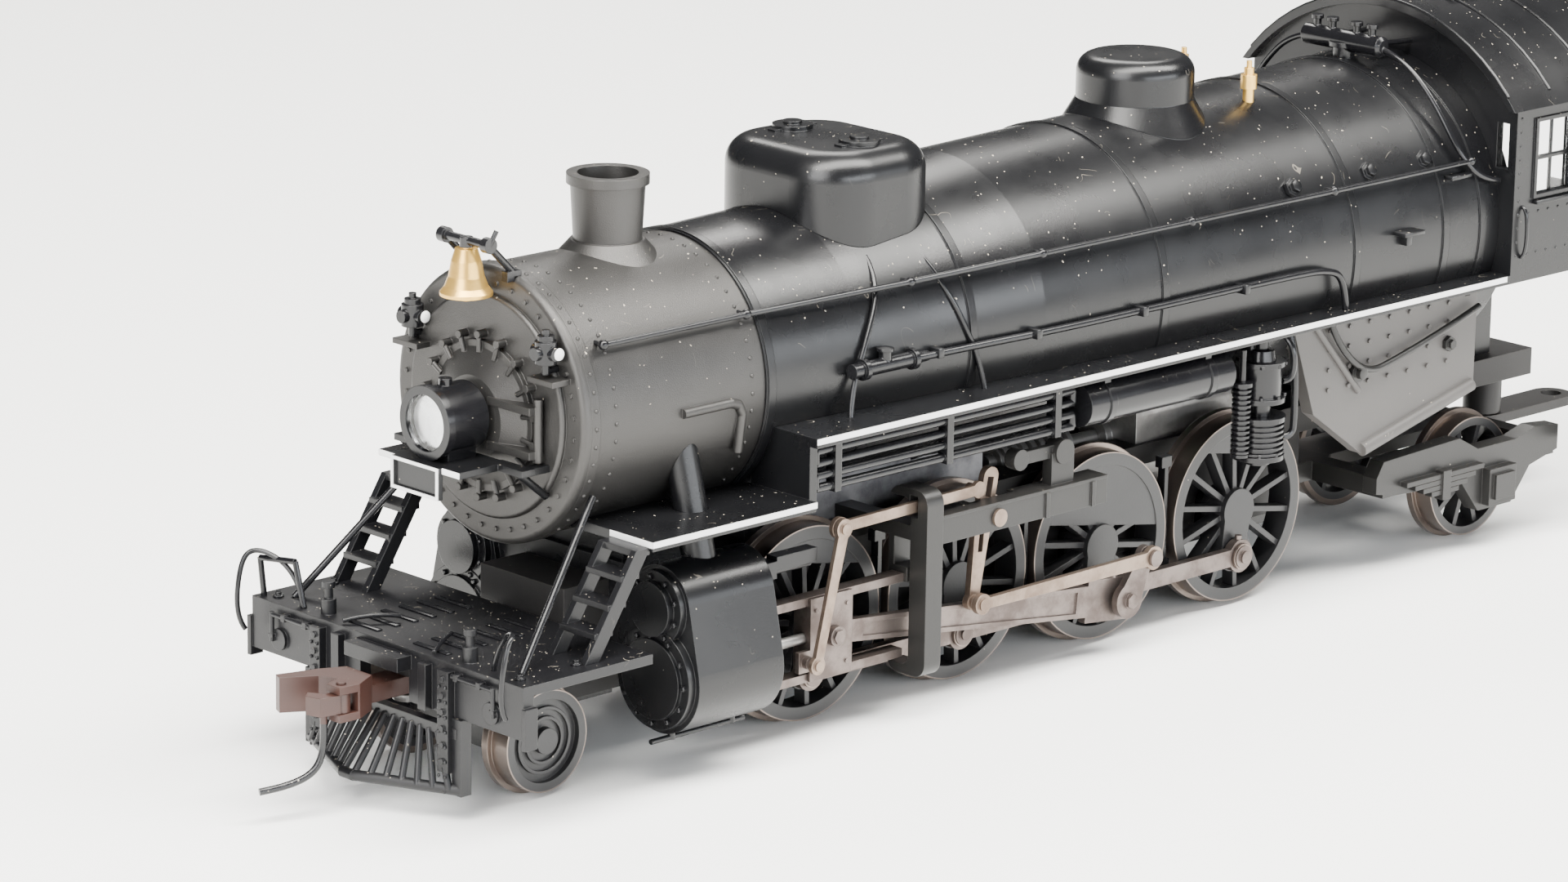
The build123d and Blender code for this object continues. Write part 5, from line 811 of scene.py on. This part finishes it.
# %% Sand pipes and side pipes
for side, word in ((-1, "left"), (1, "right")):
    runs = [pipe([(7.5, side * 9.0, 42.3), (6.8, side * 11.6, 40.2), (3.6, side * 13.2, 35.5),
                  (1.6, side * 13.5, 31.5),
                  (1.2, side * 13.9, 29.2)], 0.28),
            pipe([(13.2, side * 9.2, 42.6), (13.8, side * 11.9, 40.4), (15.6, side * 13.7, 36.0),
                  (17.6, side * 14.1, 31.6),
                  (17.8, side * 14.6, 29.2)], 0.28)]
    fit(gather(runs), "sand_pipes_" + word, gloss_black, angle=60)
    long_run = [pipe([(2.4, side * 13.7, 33.4), (14.0, side * 14.2, 33.5), (26.0, side * 15.0, 33.5),
                      (40.0, side * 15.3, 33.6), (58.5, side * 15.8, 33.8), (63.6, side * 16.0, 33.7),
                      (66.2, side * 16.1, 32.6), (66.6, side * 16.1, 29.3)], 0.36),
                turned(at(1.4, side * 13.7, 33.4), REAR,
                       [(0, 0.7), (1.2, 0.7), (1.2, 1.0), (1.7, 1.0), (1.7, 0.72),
                                                          (7.4, 0.72), (7.4, 1.0), (7.9, 1.0), (7.9, 0.6), (9.6, 0.5)]),
                turned(at(5.6, side * 13.7, 33.4), UP, [(0, 0.6), (1.3, 0.6), (1.3, 0.8), (1.6, 0.8), (1.7, 0.3)], 16)]
    fit(gather(long_run), "feed_pipe_" + word, gloss_black, angle=40)
    clips = []
    for along, reach in ((12.0, 13.7), (24.0, 14.6), (38.0, 15.0), (52.0, 15.3)):
        clips.append(slab((along - 0.35, side * (reach - 0.9), 33.1),
                          (along + 0.35, side * (reach + 0.95), 34.05), 0.08))
    fit(gather(clips), "pipe_clips_" + word, satin_black)
print("pipes run back to the cab")

# %% Steps, washout plugs and the turret
for side, word in ((-1, "left"), (1, "right")):
    steps = [slab((82.6, side * 13.4, 39.7), (85.6, side * 15.6, 40.1)),
             slab((74.2, side * 15.0, 35.4), (77.2, side * 16.9, 35.8))]
    steps += [slab((83.7, side * 13.2, 38.6), (84.5, side * 14.6, 39.8)),
              slab((75.3, side * 14.8, 34.3), (76.1, side * 16.2, 35.5))]
    fit(gather(steps), "boiler_steps_" + word, satin_black)
    lean = Vector((0, side * 0.86, 0.5))
    plugs = []
    for along in (61.3, 72.4, 80.6):
        heart = at(along, 0, 34.0) + lean.normalized() * 15.1 * mm
        plugs.append(turned(heart, lean,
                            [(0, 1.0), (0.45, 1.0), (0.5, 0.62), (0.95, 0.62), (1.0, 0.45)], 6))
    fit(gather(plugs), "washout_plugs_" + word, satin_black, angle=25)
turret = [turned(at(83.6, -5.2, 51.4), RIGHT, [(0, 0.7), (0.3, 1.05), (10.1, 1.05), (10.4, 0.7)]),
          turned(at(83.6, 0, 48.6), UP, [(0, 1.1), (2.2, 1.1), (2.2, 1.5), (2.7, 1.5)], 16)]
for side in (-1, 1):
    for offset in (1.6, 3.6):
        turret.append(turned(at(83.6, side * offset, 51.4), UP,
                             [(0, 0.4), (1.7, 0.4), (1.7, 0.62), (2.1, 0.62)], 12))
    turret.append(pipe([(83.6, side * 5.0, 51.2), (83.8, side * 7.6, 50.6), (84.2, side * 11.4, 47.0),
                        (84.6, side * 14.4, 42.4), (86.6, side * 15.6, 39.4), (89.6, side * 15.8, 38.8)], 0.3))
    turret.append(pipe([(84.6, side * 2.8, 51.2), (87.4, side * 3.2, 51.2), (90.4, side * 3.2, 51.0)],
                       0.26))
fit(gather(turret), "turret", gloss_black, angle=40)
print("turret and steps in place")

# %% [markdown]
# ## The air pump
# A steam pump hangs on the left side: a small steam cylinder with cooling fins beside a larger air
# cylinder, both on one foot. Fins are rings on the turned body, so they cost one list of numbers.

# %% Air pump
def finned(low_end, high_end, core, fin, count):
    """Rings for a finned cylinder between two heights."""
    rings = []
    pitch = (high_end - low_end) / count
    for i in range(count):
        foot = low_end + i * pitch
        rings += [(foot, fin), (foot + pitch * 0.45, fin), (foot + pitch * 0.45, core),
                  (foot + pitch, core)]
    return rings


pump_low, pump_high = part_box("air_pump")
pump_x = 55.4
pump = [turned(at(pump_x, -15.2, 15.6), UP, [(0, 1.2), (0.6, 1.2), (0.6, 2.6), (1.1, 2.6), (1.1, 2.2)]
               + finned(1.2, 4.4, 2.2, 2.5, 6) + [(4.4, 2.6), (4.9, 2.6), (4.9, 1.1), (6.3, 1.1),
                                                  (6.3, 2.5), (6.8, 2.5),
                                                  (6.8, 2.1), (9.9, 2.1), (9.9, 2.45), (10.4,
                                                                                        2.45), (10.4, 1.5),
                                                  (11.4, 1.3), (11.5, 0.7), (12.8, 0.7)], 32),
        turned(at(pump_x - 3.4, -15.9, 17.0), UP,
               [(0, 0.9), (0.3, 0.9), (0.3, 0.62)] + finned(0.4, 7.0, 0.62, 0.95, 13)
               + [(7.0, 1.05), (7.4, 1.05), (7.4, 0.35), (10.6, 0.35)], 20)]
for turn in range(8):
    a = radians(45 * turn)
    for height in (16.7, 20.0, 22.4, 25.5):
        pump.append(turned(at(pump_x + 2.38 * cos(a), -15.2 + 2.38 * sin(a), height), UP,
                           [(0, 0.22), (0.28, 0.22)], 6))
pump += [pipe([(pump_x + 2.4, -16.2, 18.0), (pump_x + 3.4, -16.6, 18.0), (pump_x + 3.6, -16.6, 20.0),
               (pump_x + 3.6, -16.4, 26.0), (pump_x + 3.6, -15.6, 28.3)], 0.36),
         pipe([(pump_x + 1.8, -16.6, 23.8), (pump_x + 2.6, -17.2, 23.8), (pump_x + 2.6, -17.2, 27.4),
               (pump_x + 2.2, -15.8, 28.3)], 0.3),
         slab((pump_x - 1.3, -15.0, 22.2), (pump_x + 1.3, -12.6, 28.3), 0.1)]
pump = fit(gather(pump), "air_pump_detailed", gloss_black, angle=30)
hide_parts("air_pump")
print("air pump stands from", round(pump_low.z / mm, 1), "to", round(pump_high.z / mm, 1), "mm")

# %% [markdown]
# ## Cylinders and rods
# Covers are held by a ring of bolts, and every pin on the rods ends in a nut or a bolt head. The bolt
# rings use one hexagonal head that is copied round a circle.

# %% [markdown]
# ## Bolts, nuts and pins
# Each cylinder cover is held by a ring of bolts, and the smaller cover of the valve chest above it by a
# ring of fewer. On the rods, every crankpin ends in a flanged cap. The cap on the first driver has to stay
# nearly flush, because the crosshead sweeps past it with a fifth of a millimetre to spare. Bolts and caps
# are profiles turned round their axis, and each ring is one bolt copied.

# %% Bolts on the cylinder covers
cylinder_across, cylinder_height, cylinder_face = 13.05, 9.2, -22.05
chest_height, chest_face = 15.7, -21.95
cover_ring, chest_ring = 4.1, 2.85
for side, word in ((-1, "left"), (1, "right")):
    heart = side * cylinder_across
    spots = [at(cylinder_face, heart + cover_ring * cos(radians(30 * i)),
                cylinder_height + cover_ring * sin(radians(30 * i))) for i in range(12)]
    spots += [at(chest_face, heart + chest_ring * cos(radians(40 * i)),
                 chest_height + chest_ring * sin(radians(40 * i))) for i in range(9)]
    bolts = repeat(turned(Vector((0, 0, 0)), FRONT, [(-0.15, 0.26), (0.22, 0.26), (0.28, 0.16)], 6),
                   spots)
    fit(bolts, "cover_bolts_" + word, satin_black, angle=25)
print("cylinder covers bolted")

# %% Nuts and pins on the rods
axle_height, driver_spacing, pin_face, crank_face = 9.2, 19.54, 11.75, 14.9
throw, lead = 4.37, radians(-100.0)
low_cap = [(0, 1.15), (0.1, 1.15), (0.13, 1.05)]
tall_cap = [(0, 1.15), (0.12, 1.15), (0.12, 0.62), (0.42, 0.62), (0.46, 0.4)]
for side, word in ((-1, "left"), (1, "right")):
    turn = lead + (0.0 if side < 0 else pi / 2)
    outward = (0, side, 0)
    for wheel in range(4):
        if wheel == 2:
            continue
        hub = at(driver_spacing * wheel + throw * cos(turn), side * pin_face,
                 axle_height + throw * sin(turn))
        cap = turned(hub, outward, tall_cap if wheel else low_cap, 24)
        body = {0: "wheels_1", 1: "wheels_2", 3: "wheels_4"}[wheel]
        fit(cap, "crankpin_nut_" + str(wheel + 1) + "_" + word, rod_nickel, body)
    pin = at(2 * driver_spacing + throw * cos(turn), side * crank_face, axle_height + throw * sin(turn))
    fit(turned(pin, outward, [(0, 0.75), (0.3, 0.75), (0.34, 0.5)], 6), "return_crank_nut_" + word,
        rod_nickel,
        "main_wheels", 25)
print("rod pins finished")
# %% [markdown]
# ## The cab
# The cab is a thin shell, so whatever is behind its windows shows. Clear panes go in the window openings,
# and inside stand the backhead of the boiler with its fire door, a few gauges and two seats. From above one
# sees the roof: it gets ribs, made as round bars bent along its arch.

# %% Window panes
for side, word in ((-1, "left"), (1, "right")):
    panes = [slab((start + 0.1, side * 17.05, 37.3), (start + 5.1, side * 17.25, 44.5),
                  0) for start in (93.2, 99.4)]
    fit(gather(panes), "cab_panes_" + word, clear)
    sashes = []
    for start in (93.2, 99.4):
        sashes += [slab((start, side * 16.8, 40.6), (start + 5.2, side * 17.35, 41.0), 0.05),
                   slab((start + 2.45, side * 16.9, 37.2), (start + 2.75, side * 17.3, 44.6), 0.05)]
    sashes.append(slab((93.0, side * 17.4, 36.2), (105.0, side * 18.1, 36.6), 0.1))
    fit(gather(sashes), "cab_sashes_" + word, satin_black)
print("windows glazed")

# %% Backhead and seats
backhead = [turned(at(91.9, 0, 34.2), REAR, [(0, 13.9), (0.5, 13.9), (0.9, 13.5), (1.0, 13.0)], 48),
            turned(at(92.7, 0, 31.8), REAR, [(0, 3.0), (0.5, 3.0), (0.5, 2.6), (0.8, 2.5)], 32),
            slab((92.6, -0.25, 29.6), (93.6, 0.25, 34.0), 0.08)]
for across_mm, height, size in ((-3.4, 42.0, 1.1), (0.0, 43.4, 1.3), (3.4, 42.0, 1.1),
                                (-5.8, 39.4, 0.8), (5.8, 39.4, 0.8)):
    backhead.append(turned(at(92.6, across_mm, height), REAR,
                           [(0, size), (0.6, size), (0.6, size * 0.86), (0.5, size * 0.8)], 20))
for side in (-1, 1):
    backhead.append(pipe([(92.8, side * 5.8, 38.6), (93.2, side * 6.4, 36.0),
                          (93.0, side * 6.6, 32.0), (92.9, side * 6.6, 30.0)], 0.25))
    backhead.append(pipe([(92.8, side * 3.4, 41.2), (93.1, side * 3.0, 39.0),
                          (93.0, side * 2.0, 37.0)], 0.2))
backhead.append(pipe([(93.4, -5.0, 37.6), (94.6, -3.0, 38.2), (95.4, 1.0, 38.6)], 0.22, 2))
fit(gather(backhead), "backhead", gear_black, angle=40)
seats = []
for side in (-1, 1):
    seats += [slab((98.0, side * 12.2, 32.6), (101.6, side * 15.8, 33.4), 0.3),
              slab((101.2, side * 12.4, 33.2), (101.8, side * 15.6, 37.0), 0.25),
              slab((98.4, side * 12.6, 29.2), (101.2, side * 15.4, 32.7), 0.1)]
fit(gather(seats), "cab_seats", brown_plastic)
print("cab fitted out")

# %% Roof ribs and grab irons
_, cab_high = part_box("cab")
roof_radius = 22.72
ribs = []
for along in (89.0, 95.4, 102.0, 108.6):
    arch = [(along, 1.7 * step,
             32.4 + sqrt(roof_radius ** 2 - (1.7 * step) ** 2)) for step in range(-10, 11)]
    ribs.append(pipe(arch, 0.22, 2))
fit(gather(ribs), "roof_ribs", satin_black, angle=60)
for side, word in ((-1, "left"), (1, "right")):
    irons = [pipe([(108.9, side * 17.5, 30.6), (108.9, side * 18.3, 30.8), (108.9, side * 18.3, 40.6),
                   (108.9, side * 17.5, 40.8)], 0.22),
             pipe([(91.4, side * 17.5, 31.0), (91.4, side * 18.2, 31.1), (91.4, side * 18.2, 36.0),
                   (91.4, side * 17.5, 36.1)], 0.2)]
    fit(gather(irons), "cab_grab_irons_" + word, gloss_black, angle=60)
print("roof is at", round(cab_high.z / mm, 1), "mm")

# %% [markdown]
# ## The front deck
# The deck has a curved grab iron at each corner, uncoupling levers along the beam, bolt heads
# and a tread plate. The grab irons are pipes whose corners are rounded by the curve itself.

# %% Deck fittings
fittings = []
for side in (-1, 1):
    fittings.append(pipe([(-43.4, side * 17.7, 11.0), (-44.4, side * 17.9, 12.4),
                          (-43.6, side * 18.0, 17.6),
                          (-42.2, side * 17.4, 18.4), (-41.0, side * 15.0, 17.4), (-40.6, side * 13.2,
                                                                                   15.2),
                          (-40.6, side * 12.9, 13.6)], 0.24))
    fittings.append(pipe([(-41.6, side * 6.2, 14.0), (-39.2, side * 4.8, 14.6),
                          (-37.2, side * 3.4, 14.2)], 0.2))
    for along in (-40.6, -34.2):
        fittings.append(turned(at(along, side * 16.4, 13.6), UP,
                               [(0, 0.5), (0.3, 0.5), (0.35, 0.3), (0.6, 0.3)], 12))
    for step in range(6):
        fittings.append(slab((-40.8 + 2.1 * step, side * 2.4, 13.65),
                             (-40.2 + 2.1 * step, side * 7.0, 13.85), 0.03))
fit(gather(fittings), "deck_fittings", gloss_black, angle=50)
posts = []
for side in (-1, 1):
    spots = [at(-42.9, side * y, 2.2 + 1.35 * i) for i in range(8) for y in (8.3, 9.1)]
    posts += spots
fit(repeat(rivet(FRONT, 0.17, 0.12), posts), "rivets_pilot_posts", deck_black, angle=60)
print("deck fittings in place")

# %% [markdown]
# ## Piping on the firebox
# Below the walkway the firebox sheet carries a blow-off pipe, a washout plug and a small check valve.

# %% Firebox pipes
for side, word in ((-1, "left"), (1, "right")):
    lines = [pipe([(66.0, side * 14.9, 27.6), (67.2, side * 15.1, 25.0), (71.4, side * 15.1, 21.8),
                   (76.0, side * 15.0, 22.6),
                   (84.0, side * 15.0, 24.6), (88.4, side * 15.0, 26.0)], 0.34),
             turned(at(70.6, side * 14.2, 22.0), (0, side, 0),
                    [(0, 1.0), (0.6, 1.0), (0.6, 0.6), (1.2, 0.6), (1.25, 0.4)], 16),
             turned(at(84.6, side * 14.2, 22.6), (0, side, 0), [(0, 0.8), (0.5, 0.8), (0.5, 0.5), (0.9, 0.5)], 6)]
    fit(gather(lines), "firebox_pipes_" + word, gear_black, angle=50)
print("firebox piped")
